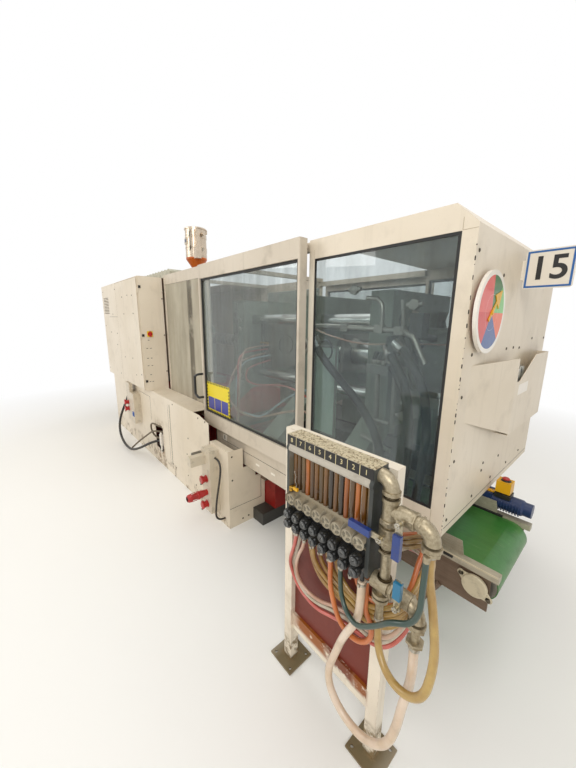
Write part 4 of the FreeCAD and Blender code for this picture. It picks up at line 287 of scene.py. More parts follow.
def age(tree, shader, clean, faded, grime, share, drips, spot, rough):
    """Give the shader a worn colour and roughness."""
    wear = use(
        tree, "shop_wear", Clean=clean, Faded=faded, Grime=tone(*grime),
        Grime_Share=share, Drips=drips, Spot_Size=spot, Base_Roughness=rough,
    )
    feed(tree, shader, {"Base Color": wear["Colour"], "Roughness": wear["Roughness"]})
    return wear


def raise_grain(tree, shader, height, depth, strength=0.5):
    """Give the surface its fine relief."""
    bump = put(tree, "ShaderNodeBump", {"Height": height, "Distance": depth, "Strength": strength})
    tree.links.new(bump.outputs[0], shader.inputs["Normal"])


def recolour(skin, mask, colour):
    """Lay one more colour over a finish where a mask says."""
    tree = skin.node_tree
    base = tree.nodes["Principled BSDF"].inputs["Base Color"]
    tree.links.new(blend(tree, mask, base.links[0].from_socket, tone(*colour)), base)


def stain(skin, zones):
    """Stains of a finish; zones are (middle, half, torn, fill, colour) in metres."""
    for middle, half, torn, fill, colour in zones:
        recolour(skin, use(skin.node_tree, "zone", Middle=middle, Half=half, Torn=torn, Fill=fill)["Mask"], colour)


def painted(
    name, clean, faded, grime=(98, 84, 62), share=0.35, drips=0.25, spot=6.0, rough=0.36,
    bare=None, bare_share=0.6, zones=(),
):
    """A sprayed or moulded surface with its age, rubbed to a bare colour at its edges and given the same colour in
    its inner corners.
    """
    skin, tree, shader = start_finish(name)
    wear = age(tree, shader, tone(*clean), tone(*faded), grime, share, drips, spot, rough)
    stain(skin, zones)
    if bare:
        recolour(skin, use(tree, "edge_rub", Reach=0.004, Share=bare_share)["Mask"], bare)
    raise_grain(tree, shader, wear["Height"], 0.0004, 0.25)
    return skin


def metal(name, light, dark, grime=(70, 60, 44), share=0.4, rough=0.35, pull=(1, 1, 1), fine=260.0, sheen=1.0):
    """Bare metal with drawn or cast grain and dirt in its blotches."""
    skin, tree, shader = start_finish(name, Metallic=sheen)
    grain = use(tree, "metal_grain", Stretch=pull, Fineness=fine)
    body = blend(tree, grain["Shade"], tone(*dark), tone(*light))
    age(tree, shader, body, body, grime, share, share * 0.4, 9.0, rough)
    raise_grain(tree, shader, grain["Height"], 0.0006, 0.35)
    return skin


def moulded(name, clean, faded, grime=(80, 70, 52), share=0.3, rough=0.32, coat=0.0):
    """Moulded plastic or rubber with a fine pebbled skin."""
    skin, tree, shader = start_finish(name, Coat_Weight=coat, Coat_Roughness=0.12)
    age(tree, shader, tone(*clean), tone(*faded), grime, share, 0.1, 22.0, rough)
    raise_grain(tree, shader, cloud(tree, own_place(tree), 900.0, 2), 0.0003, 0.3)
    return skin


def hose_wall(name, clear, stained, deep=0.0):
    """Hose wall: glossy skin with long stains inside, and a faint wound reinforcement."""
    skin, tree, shader = start_finish(
        name, Coat_Weight=0.45, Coat_Roughness=0.18, Subsurface_Weight=deep, Subsurface_Radius=(0.012, 0.009, 0.006)
    )
    place = own_place(tree)
    stains = span(tree, cloud(tree, place, 5.0, 5, 0.6), 0.36, 0.66)
    colour = blend(tree, stains, tone(*clear), tone(*stained))
    age(tree, shader, colour, colour, (84, 66, 40), 0.22, 0.25, 16.0, 0.24)
    inputs = {"Vector": place, "Scale": 55.0, "Distortion": 2.0}
    winding = put(tree, "ShaderNodeTexWave", inputs, bands_direction="DIAGONAL").outputs["Fac"]
    raise_grain(tree, shader, winding, 0.0003, 0.12)
    return skin


def film(name, colour, streak, low, high):
    """Film of oil mist and dust on the inner side of a pane, thicker in clouds and runs."""
    skin, tree, shader = start_finish(name, Roughness=0.7)
    place = own_place(tree)
    clouds = cloud(tree, stretch(tree, place, (1.6, 1.6, 0.8)), 1.7, 6, 0.62)
    runs = cloud(tree, stretch(tree, place, (14.0, 14.0, 0.9)), 1.0, 5, 0.6)
    mixed = calc(tree, "ADD", calc(tree, "MULTIPLY", clouds, 0.65), calc(tree, "MULTIPLY", runs, 0.35))
    tree.links.new(span(tree, mixed, 0.34, 0.66, low, high), shader.inputs["Alpha"])
    body = blend(tree, span(tree, runs, 0.35, 0.7), tone(*colour), tone(*streak))
    tree.links.new(body, shader.inputs["Base Color"])
    return skin


# ---------------------------------------------------------------- finishes of one piece each


def clear_pane():
    """Clear safety sheet: slightly smeared, letting light through for what stands behind it."""
    skin, tree, shader = start_finish(
        "clear_pane", Transmission_Weight=1.0, IOR=1.45, Metallic=0.0, Base_Color=tone(212, 220, 220)
    )
    smear = cloud(tree, stretch(tree, own_place(tree), (2, 2, 0.7)), 3.0, 6, 0.6)
    tree.links.new(span(tree, smear, 0.4, 0.75, 0.01, 0.04), shader.inputs["Roughness"])
    through = put(tree, "ShaderNodeBsdfTransparent", {"Color": tone(206, 212, 212)})
    shadow = put(tree, "ShaderNodeLightPath").outputs["Is Shadow Ray"]
    split_surface(tree, shadow, shader.outputs[0], through.outputs[0])
    return skin


def status_sheet():
    """Printed round sheet: six plain coloured fields round its middle and a white rim."""
    skin, tree, shader = start_finish("status_sheet", Coat_Weight=0.3)
    parts = axes(tree, move(tree, "SUBTRACT", own_place(tree), (2.6, -0.575, 1.77)))
    share = span(tree, calc(tree, "ARCTAN2", parts[2], parts[1]), -math.pi, math.pi)
    wheel = colour_steps(tree, share, (
        (0.0, (206, 44, 36)), (0.158, (26, 74, 140)), (0.364, (228, 92, 26)),
        (0.5, (112, 188, 96)), (0.631, (38, 110, 54)), (0.758, (220, 82, 72)),
    ))
    out = calc(tree, "MULTIPLY", parts[1], parts[1])
    out = calc(tree, "SQRT", calc(tree, "ADD", out, calc(tree, "MULTIPLY", parts[2], parts[2])))
    rim = span(tree, out, 0.1545, 0.1555)
    face = blend(tree, rim, wheel, tone(238, 232, 222))
    line = calc(tree, "MULTIPLY", span(tree, out, 0.075, 0.0755), span(tree, out, 0.077, 0.0765))
    face = blend(tree, calc(tree, "MULTIPLY", line, 0.35), face, tone(245, 240, 232))
    wear = age(tree, shader, face, face, (150, 132, 104), 0.18, 0.1, 14.0, 0.3)
    raise_grain(tree, shader, wear["Height"], 0.0002, 0.15)
    return skin


def gate_mix():
    """The sliding gate: putty frame, and black where the bow grip stands out from it."""
    skin = painted("gate_mix", *PAINTS["frame_paint"][:2], **PAINTS["frame_paint"][2])
    tree = skin.node_tree
    across = calc(tree, "ABSOLUTE", axes(tree, own_place(tree))[1])
    recolour(skin, span(tree, across, 0.8606, 0.8612), (26, 26, 25))
    return skin


def stained_tubes():
    """Flow tubes browned by years of water, each to its own degree along the row."""
    skin, tree, shader = start_finish("stained_tubes", Coat_Weight=0.6, Coat_Roughness=0.08)
    place = own_place(tree)
    parts = axes(tree, place)
    row_start, tube_pitch = 2.204, 0.024
    step = calc(tree, "SUBTRACT", parts[0], row_start)
    step = calc(tree, "FLOOR", calc(tree, "MULTIPLY", step, 1 / tube_pitch))
    pick = put(tree, "ShaderNodeTexWhiteNoise", {"W": step}, noise_dimensions="1D").outputs["Value"]
    tints = colour_steps(tree, pick, (
        (0.0, (96, 66, 24)), (0.22, (168, 92, 22)), (0.42, (124, 82, 24)),
        (0.6, (52, 44, 34)), (0.72, (186, 104, 26)), (0.88, (104, 78, 34)),
    ))
    shade = blend(tree, span(tree, parts[2], 1.02, 1.2), tone(150, 120, 70), tone(255, 255, 255))
    body = blend(tree, 0.75, tints, shade, "MULTIPLY")
    streak = span(tree, cloud(tree, stretch(tree, place, (120, 120, 5)), 1, 4), 0.4, 0.7)
    body = blend(tree, calc(tree, "MULTIPLY", streak, 0.6), body, tone(54, 40, 18))
    wear = age(tree, shader, body, body, (40, 30, 16), 0.3, 0.4, 30.0, 0.14)
    raise_grain(tree, shader, wear["Height"], 0.0002, 0.1)
    return skin


def conveyor_metal():
    """Conveyor frame: brown-grey side plates, their colour a painted reflection and painted shade, below bright
    capping profiles.
    """
    skin, tree, shader = start_finish("conveyor_metal", Metallic=0.35)
    upper = span(tree, axes(tree, own_place(tree))[2], 0.5985, 0.5995)
    grain = use(tree, "metal_grain", Stretch=(0.08, 1, 1), Fineness=220.0)
    # painted reflection and shade: the brown-grey side plates stand for a brown floor mirrored in them and for their
    # shade
    side = blend(tree, grain["Shade"], tone(92, 74, 60), tone(126, 106, 88))
    top = blend(tree, grain["Shade"], tone(150, 143, 124), tone(196, 188, 168))
    body = blend(tree, upper, side, top)
    age(tree, shader, body, body, (62, 50, 36), 0.45, 0.25, 8.0, 0.38)
    raise_grain(tree, shader, grain["Height"], 0.0004, 0.25)
    return skin


def belt_surface():
    """Green conveying belt with its joint lines, pale scuffs and greasy sheen."""
    skin, tree, shader = start_finish("belt_surface", Coat_Weight=0.15, Coat_Roughness=0.35)
    place = own_place(tree)
    along = use(tree, "metal_grain", Stretch=(0.05, 1, 1), Fineness=90.0)
    body = blend(tree, along["Shade"], tone(46, 104, 38), tone(60, 124, 50))
    scuff = span(tree, cloud(tree, stretch(tree, place, (1.2, 16, 16)), 3, 5, 0.7), 0.6, 0.76)
    body = blend(tree, calc(tree, "MULTIPLY", scuff, 0.45), body, tone(122, 156, 104))
    age(tree, shader, body, body, (36, 58, 28), 0.35, 0.0, 10.0, 0.3)
    raise_grain(tree, shader, cloud(tree, place, 1400, 1), 0.0002, 0.3)
    return skin


def manifold_mix():
    """One casting and its posts: dark posts, pale roll, beige bottles with brown runs, sandy top."""
    skin, tree, shader = start_finish("manifold_mix")
    place = own_place(tree)
    spot = axes(tree, place)
    roll = age(tree, shader, tone(190, 184, 172), tone(168, 160, 146), (110, 92, 66), 0.4, 0.5, 18.0, 0.35)
    dark = age(tree, shader, tone(50, 54, 53), tone(64, 66, 62), (104, 92, 70), 0.3, 0.3, 14.0, 0.34)
    bottles = age(tree, shader, tone(168, 158, 138), tone(146, 134, 110), (84, 62, 38), 0.75, 0.7, 30.0, 0.42)
    colour = blend(tree, span(tree, spot[2], 1.17, 1.19), bottles["Colour"], roll["Colour"])
    left = span(tree, spot[0], 2.2045, 2.2035)
    right = span(tree, spot[0], 2.5855, 2.5865)
    low = span(tree, spot[2], 1.281, 1.2795)
    ends = calc(tree, "MULTIPLY", calc(tree, "MAXIMUM", left, right), low)
    colour = blend(tree, ends, colour, dark["Colour"])
    grit = span(tree, cloud(tree, place, 130.0, 6, 0.75), 0.5, 0.56)
    sand = blend(tree, grit, tone(206, 194, 164), tone(112, 92, 62))
    colour = blend(tree, span(tree, spot[2], 1.2795, 1.2805), colour, sand)
    tree.links.new(colour, shader.inputs["Base Color"])
    raise_grain(tree, shader, bottles["Height"], 0.0005, 0.3)
    return skin


# ---------------------------------------------------------------- table of finishes

BARE_PUTTY = dict(share=0.3, drips=0.22, bare=(128, 112, 92), bare_share=0.5)
RUST = (150, 84, 26)
FLOOR_STAINS = (
    ((0.9, -0.97, 0.0), (2.6, 0.1, 0.16), 9.0, 0.44, (128, 104, 72)),
    ((-1.6, -0.97, 0.0), (1.2, 0.1, 0.2), 9.0, 0.46, (132, 108, 78)),
    ((-0.56, -0.97, 0.2), (0.16, 0.05, 0.4), 14.0, 0.5, (146, 118, 84)),
)
STAND_STAINS = (
    ((2.26, -1.24, 0.27), (0.14, 0.06, 0.05), 30.0, 0.66, RUST),
    ((2.44, -1.24, 0.28), (0.1, 0.06, 0.05), 30.0, 0.62, (120, 56, 22)),
    ((2.54, -1.24, 0.27), (0.05, 0.06, 0.04), 40.0, 0.6, RUST),
    ((2.36, -1.24, 0.0), (0.5, 0.2, 0.024), 22.0, 0.78, (112, 98, 70)),
    ((2.11, -1.24, 0.05), (0.05, 0.05, 0.1), 26.0, 0.5, (128, 108, 76)),
    ((2.605, -1.24, 0.06), (0.05, 0.05, 0.12), 26.0, 0.5, (138, 118, 86)),
)
# name: (clean colour, faded colour, what differs from a usual one)
PAINTS = {
    "cream_paint": ((230, 219, 201), (217, 204, 182), dict(share=0.16, drips=0.14, zones=FLOOR_STAINS)),
    "frame_paint": ((212, 201, 184), (196, 184, 165), BARE_PUTTY),
    "red_paint": ((168, 28, 22), (138, 26, 20), dict(grime=(44, 24, 18), share=0.7, drips=0.5, bare=(92, 80, 72))),
    "dark_paint": ((46, 46, 44), (58, 56, 52), dict(grime=(88, 76, 56), share=0.4)),
    "machine_green": ((142, 152, 138), (122, 132, 120), dict(grime=(52, 48, 38), share=0.55, drips=0.4)),
    "white_plate": ((240, 234, 224), (232, 224, 210), dict(share=0.14, drips=0.08, rough=0.26)),
    "orange_paint": ((214, 106, 20), (198, 94, 16), dict(grime=(96, 48, 14), share=0.3, rough=0.3)),
    "stand_paint": ((242, 234, 218), (230, 219, 200), dict(
        grime=(120, 92, 58), share=0.34, drips=0.3, bare=(150, 110, 70), bare_share=0.7, zones=STAND_STAINS,
    )),
    # dark_red_sheet: red sheet behind the stand's posts, darker than red_paint as painted shade between the posts
    "dark_red_sheet": ((124, 44, 26), (104, 34, 20), dict(grime=(58, 24, 16), share=0.5, drips=0.3, rough=0.4)),
    "motor_blue": ((30, 52, 98), (26, 44, 82), dict(grime=(70, 70, 66), share=0.4, rough=0.28)),
    "sign_blue": ((44, 108, 178), (38, 96, 162), dict(share=0.1, rough=0.3)),
    "label_yellow": ((236, 214, 20), (224, 200, 16), dict(share=0.08, drips=0.0, rough=0.3)),
    "label_blue": ((62, 66, 152), (52, 56, 136), dict(share=0.08, drips=0.0, rough=0.3)),
    "crumpled_paper": ((222, 222, 216), (206, 208, 202), dict(share=0.06, drips=0.0, rough=0.55)),
    "interior_green": ((176, 196, 180), (156, 176, 162), dict(grime=(70, 70, 58), drips=0.4)),
    "bottle_grey": ((176, 168, 148), (150, 138, 114), dict(
        grime=(92, 70, 44), share=0.6, drips=0.6, spot=40.0, rough=0.4,
    )),
    "casting_grey": ((128, 130, 124), (108, 108, 100), dict(
        grime=(56, 50, 40), share=0.7, drips=0.6, spot=9.0, rough=0.42,
    )),
}
PLASTICS = {
    "black_plastic": ((30, 31, 32), (44, 44, 43), dict(grime=(104, 92, 70), share=0.45, rough=0.28, coat=0.3)),
    "pale_plastic": ((216, 206, 188), (202, 190, 168), dict(share=0.35)),
    "red_plastic": ((192, 28, 26), (168, 26, 24), dict(rough=0.26, coat=0.25)),
    "yellow_plastic": ((232, 178, 20), (214, 158, 18), dict(rough=0.3)),
    "valve_blue": ((26, 58, 132), (22, 48, 112), dict(rough=0.26, coat=0.3)),
    "cable_black": ((34, 32, 30), (48, 44, 39), dict(grime=(112, 96, 72), share=0.5, rough=0.4)),
    "conduit_skin": ((112, 100, 80), (92, 80, 60), dict(share=0.6, rough=0.45)),
    "rubber_seal": ((22, 22, 22), (34, 33, 31), dict(rough=0.5)),
    "shadow_gap": ((42, 36, 28), (62, 54, 42), dict(share=0.2, rough=0.7)),
    "faint_seam": ((176, 160, 132), (160, 144, 116), dict(share=0.2, rough=0.6)),
    "print_black": ((26, 24, 24), (38, 36, 34), dict(share=0.1, rough=0.35)),
    "print_cream": ((226, 214, 168), (206, 190, 140), dict(share=0.2, rough=0.4)),
    "socket_blue": ((26, 92, 178), (22, 78, 156), dict(rough=0.28, coat=0.3)),
    "hydraulic_rubber": ((26, 29, 28), (42, 46, 44), dict(share=0.35, rough=0.34, coat=0.2)),
    "panel_blue_grey": ((96, 104, 132), (84, 90, 116), dict(share=0.1, rough=0.35)),
    "faded_duct": ((206, 204, 188), (182, 180, 162), dict(share=0.4, rough=0.45)),
    "bottle_window": ((112, 106, 88), (86, 76, 56), dict(share=0.7, rough=0.18, coat=0.4)),
    "bottle_joint": ((196, 190, 174), (124, 110, 84), dict(share=0.5, rough=0.4)),
    "knob_gloss": ((30, 33, 36), (52, 54, 54), dict(grime=(96, 86, 66), rough=0.12, coat=0.8)),
    # cap_slot: near-black bar of painted shade where a knob's driver slot is
    "cap_slot": ((8, 8, 9), (20, 20, 20), dict(rough=0.5)),
    "lever_teal": ((8, 118, 160), (10, 100, 136), dict(rough=0.26, coat=0.3)),
    "connector_grey": ((104, 98, 86), (88, 82, 70), dict(share=0.5, rough=0.4)),
    "cap_beige": ((206, 196, 170), (184, 172, 142), dict(share=0.4, rough=0.35)),
}
METALS = {
    "steel": ((176, 172, 162), (120, 116, 108), dict(share=0.45)),
    "chrome_bar": ((222, 222, 218), (196, 196, 190), dict(share=0.12, rough=0.08, pull=(0.05, 1, 1))),
    "loader_steel": ((224, 208, 188), (188, 172, 152), dict(share=0.25, rough=0.22, sheen=0.75, pull=(1, 1, 0.06))),
    "galvanised": ((196, 184, 158), (122, 108, 82), dict(
        grime=(84, 66, 40), share=0.55, rough=0.36, fine=120.0, sheen=0.75,
    )),
    "screw_steel": ((112, 104, 90), (70, 64, 54), dict(share=0.5)),
    "brass": ((206, 164, 74), (150, 112, 44), dict(rough=0.25)),
    "clip_steel": ((206, 202, 190), (140, 132, 116), dict(share=0.35, rough=0.22)),
    "valve_steel": ((204, 196, 176), (150, 138, 112), dict(share=0.5, rough=0.3)),
    "thread_dark": ((92, 78, 54), (54, 46, 34), dict(share=0.7, rough=0.5)),
    "old_steel": ((196, 194, 184), (130, 126, 116), dict(grime=(70, 62, 48), share=0.6, rough=0.34)),
}
HOSE_WALLS = {
    "hose_white_skin": ((226, 208, 190), (206, 180, 150), dict(deep=0.1)),
    "hose_green_skin": ((36, 62, 54), (50, 74, 64), {}),
    "hose_amber_skin": ((190, 160, 92), (140, 100, 44), dict(deep=0.08)),
    "hose_orange_skin": ((208, 120, 62), (168, 84, 36), dict(deep=0.05)),
    "hose_grey_skin": ((196, 188, 170), (168, 156, 132), dict(deep=0.06)),
    "clear_hose": ((206, 178, 158), (176, 128, 104), dict(deep=0.1)),
    "water_hose": ((150, 176, 186), (172, 190, 194), dict(deep=0.15)),
    "pink_hose": ((206, 108, 96), (178, 82, 72), dict(deep=0.1)),
}


def make_finishes():
    """Every finish by its name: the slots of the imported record, and those of single pieces."""
    for make in (make_shop_wear, make_edge_rub, make_zone, make_grain):
        make()
    made = {}
    for kind, table in ((painted, PAINTS), (moulded, PLASTICS), (metal, METALS), (hose_wall, HOSE_WALLS)):
        for name, (first, second, rest) in table.items():
            made[name] = kind(name, first, second, **rest)
    made.update(
        clear_pane=clear_pane(), dial_face=status_sheet(), tube_amber=stained_tubes(), belt_green=belt_surface(),
        gate_mix=gate_mix(), conveyor_metal=conveyor_metal(), manifold_mix=manifold_mix(),
        guard_haze=film("guard_haze", (208, 200, 180), (176, 168, 148), 0.5, 0.86),
        gate_haze=film("gate_haze", (176, 176, 170), (146, 138, 118), 0.0, 0.34),
        clamp_haze=film("clamp_haze", (168, 178, 184), (130, 130, 120), 0.0, 0.26),
    )
    # one darker vertical stripe down the middle of the guard pane
    stain(made["guard_haze"], [((-0.02, -0.74, 1.5), (0.07, 0.1, 0.9), 3.0, 0.62, (120, 112, 96))])
    return made


set_camera()
finish = make_finishes()


# ---------------------------------------------------------------- hoses and cables

# name: (radius, finish, real length in metres, points it follows)
HOSES = {
    "hose_white": (15, "hose_white_skin", 1.33, [
        (2564, -1325, 843), (2564, -1325, 725), (2552, -1328, 654), (2505, -1335, 556), (2476, -1343, 451),
        (2449, -1350, 353), (2468, -1348, 259), (2542, -1344, 201), (2635, -1342, 204), (2708, -1336, 270),
        (2738, -1334, 386), (2747, -1325, 500), (2762, -1308, 610), (2758, -1311, 720),
    ]),
    "hose_green": (9, "hose_green_skin", 0.7, [
        (2776, -1340, 1066), (2776, -1340, 1020), (2779, -1350, 961), (2780, -1354, 905), (2757, -1357, 847),
        (2700, -1368, 816), (2665, -1364, 770), (2618, -1362, 720), (2575, -1359, 684), (2527, -1346, 681),
        (2490, -1332, 706), (2471, -1326, 755), (2468, -1325, 843),
    ]),
    "hose_amber": (13, "hose_amber_skin", 0.744, [
        (2630, -1311, 722), (2630, -1311, 668), (2653, -1329, 609), (2709, -1350, 579), (2773, -1358, 590),
        (2818, -1359, 640), (2827, -1342, 708), (2824, -1326, 784), (2809, -1320, 868), (2790, -1306, 936),
        (2778, -1313, 999), (2776, -1311, 1066),
    ]),
    "hose_orange": (10, "hose_orange_skin", 0.697, [
        (2420, -1325, 843), (2420, -1325, 735), (2429, -1321, 680), (2440, -1309, 611), (2465, -1305, 560),
        (2515, -1303, 538), (2566, -1299, 552), (2598, -1293, 596), (2594, -1293, 656), (2569, -1300, 700),
        (2570, -1301, 748), (2564, -1295, 843),
    ]),
    "hose_grey": (10, "hose_grey_skin", 1.434, [
        (2038, -718, 560), (2038, -718, 500), (2040, -746, 428), (2042, -800, 359), (2061, -880, 300),
        (2080, -966, 267), (2126, -1045, 248), (2186, -1102, 269), (2230, -1144, 320), (2259, -1164, 394),
        (2276, -1165, 481), (2282, -1164, 573), (2272, -1168, 660), (2280, -1162, 753), (2270, -1162, 843),
        (2277, -1158, 946), (2277, -1179, 993), (2276, -1226, 1016), (2276, -1255, 1009),
    ]),
    "cable_right": (8, "cable_black", 0.655, [
        (878, -1000, 600), (915, -1000, 600), (949, -1000, 583), (971, -1003, 552), (976, -1008, 500),
        (974, -1018, 430), (968, -1030, 350), (960, -1040, 270), (955, -1047, 190), (954, -1050, 118),
        (954, -1031, 85), (954, -998, 66), (954, -965, 66),
    ]),
    "cable_bundle": (15, "cable_black", 2.215, [
        (-1610, -992, 880), (-1610, -992, 800), (-1622, -1004, 710), (-1645, -1035, 600), (-1672, -1078, 490),
        (-1695, -1120, 370), (-1690, -1150, 250), (-1640, -1162, 140), (-1530, -1165, 70), (-1390, -1165, 42),
        (-1240, -1163, 40), (-1090, -1156, 62), (-950, -1140, 110), (-820, -1112, 170), (-710, -1078, 232),
        (-620, -1028, 282), (-550, -958, 306), (-510, -870, 314), (-500, -800, 312), (-500, -740, 312),
    ]),
}

# nine hoses from the spouts, past the right post, to their couplings on the clamp rail,
# and two conduits at the cable hole
OUTER_HOSES = {
    "pink_water_hose": (8, "pink_hose", 1.423, [
        (2228, -1325, 843), (2222, -1325, 798), (2198, -1315, 733), (2174, -1316, 660), (2184, -1303, 591),
        (2218, -1299, 540), (2267, -1287, 500), (2330, -1284, 494), (2400, -1278, 515), (2470, -1279, 540),
        (2530, -1277, 552), (2595, -1277, 555), (2654, -1266, 585), (2689, -1216, 648), (2692, -1135, 735),
        (2684, -1055, 775), (2653, -976, 753), (2558, -885, 715), (2488, -844, 665), (2484, -806, 655),
    ]),
    "grey_water_hose_1": (7.5, "hose_grey_skin", 1.422, [
        (2228, -1295, 843), (2222, -1296, 795), (2202, -1296, 720), (2186, -1300, 643), (2206, -1298, 575),
        (2250, -1292, 530), (2312, -1284, 518), (2390, -1278, 543), (2460, -1277, 565), (2530, -1277, 576),
        (2604, -1281, 579), (2651, -1265, 607), (2685, -1212, 672), (2692, -1135, 757), (2684, -1055, 797),
        (2647, -973, 769), (2528, -890, 723), (2449, -848, 663), (2448, -806, 655),
    ]),
    "grey_water_hose_2": (7.5, "clear_hose", 1.419, [
        (2276, -1325, 843), (2272, -1325, 795), (2238, -1322, 735), (2218, -1318, 660), (2228, -1310, 595),
        (2272, -1300, 556), (2344, -1286, 548), (2414, -1274, 574), (2470, -1277, 592), (2530, -1277, 600),
        (2592, -1283, 605), (2655, -1268, 626), (2685, -1212, 694), (2694, -1139, 778), (2683, -1051, 816),
        (2650, -975, 794), (2485, -888, 735), (2413, -848, 663), (2412, -806, 655),
    ]),
    "amber_water_hose_1": (9, "hose_amber_skin", 1.259, [
        (2276, -1295, 843), (2280, -1296, 790), (2316, -1299, 716), (2355, -1295, 671), (2412, -1280, 638),
        (2483, -1272, 626), (2535, -1270, 622), (2589, -1271, 632), (2653, -1259, 665), (2699, -1221, 725),
        (2706, -1149, 814), (2700, -1055, 837), (2636, -968, 814), (2445, -895, 730), (2392, -846, 663),
        (2376, -806, 655),
    ]),
    "amber_water_hose_2": (9, "hose_amber_skin", 1.265, [
        (2324, -1325, 843), (2326, -1325, 795), (2343, -1315, 743), (2380, -1301, 702), (2414, -1286, 671),
        (2466, -1278, 647), (2520, -1281, 641), (2589, -1285, 645), (2655, -1268, 684), (2686, -1222, 727),
        (2703, -1150, 830), (2700, -1058, 873), (2634, -960, 851), (2432, -900, 742), (2356, -859, 663),
        (2340, -806, 655),
    ]),
    "amber_water_hose_3": (9, "hose_amber_skin", 1.121, [
        (2324, -1295, 843), (2330, -1296, 800), (2355, -1295, 746), (2405, -1285, 702), (2454, -1279, 683),
        (2530, -1284, 669), (2602, -1288, 682), (2662, -1258, 711), (2694, -1218, 763), (2703, -1151, 851),
        (2689, -1056, 875), (2634, -974, 843), (2556, -951, 767), (2503, -916, 718), (2468, -846, 697),
        (2466, -806, 705),
    ]),
    "amber_water_hose_4": (9, "hose_amber_skin", 1.102, [
        (2372, -1295, 843), (2378, -1296, 800), (2411, -1292, 742), (2461, -1282, 706), (2522, -1278, 690),
        (2598, -1283, 697), (2665, -1264, 737), (2699, -1227, 802), (2701, -1149, 886), (2676, -1050, 904),
        (2624, -971, 860), (2538, -950, 780), (2471, -913, 731), (2434, -845, 705), (2430, -806, 705),
    ]),
    "amber_water_hose_5": (9, "hose_amber_skin", 1.074, [
        (2420, -1295, 843), (2424, -1296, 800), (2454, -1296, 748), (2499, -1294, 718), (2556, -1288, 711),
        (2607, -1283, 730), (2654, -1266, 758), (2701, -1224, 811), (2704, -1139, 889), (2681, -1049, 918),
        (2626, -978, 887), (2519, -947, 793), (2440, -917, 723), (2396, -844, 699), (2394, -806, 705),
    ]),
    "orange_water_hose": (9, "hose_orange_skin", 1.021, [
        (2516, -1295, 843), (2518, -1296, 805), (2535, -1294, 768), (2566, -1286, 746), (2607, -1273, 742),
        (2667, -1256, 764), (2688, -1213, 821), (2679, -1142, 925), (2684, -1060, 947), (2632, -971, 892),
        (2498, -946, 796), (2398, -915, 711), (2351, -852, 699), (2358, -806, 705),
    ]),
    "conduit_loop": (10, "conduit_skin", 0.618, [
        (-480, -955, 488), (-516, -985, 494), (-608, -1015, 516), (-685, -1021, 490), (-715, -1014, 427),
        (-692, -1004, 365), (-632, -994, 338), (-559, -985, 338), (-510, -925, 345), (-506, -868, 336),
    ]),
    "conduit_drop": (10, "conduit_skin", 0.755, [
        (-478, -955, 430), (-540, -990, 430), (-640, -1024, 410), (-740, -1040, 350), (-840, -1060, 286),
        (-930, -1088, 226), (-1010, -1118, 160), (-1100, -1150, 86),
    ]),
}

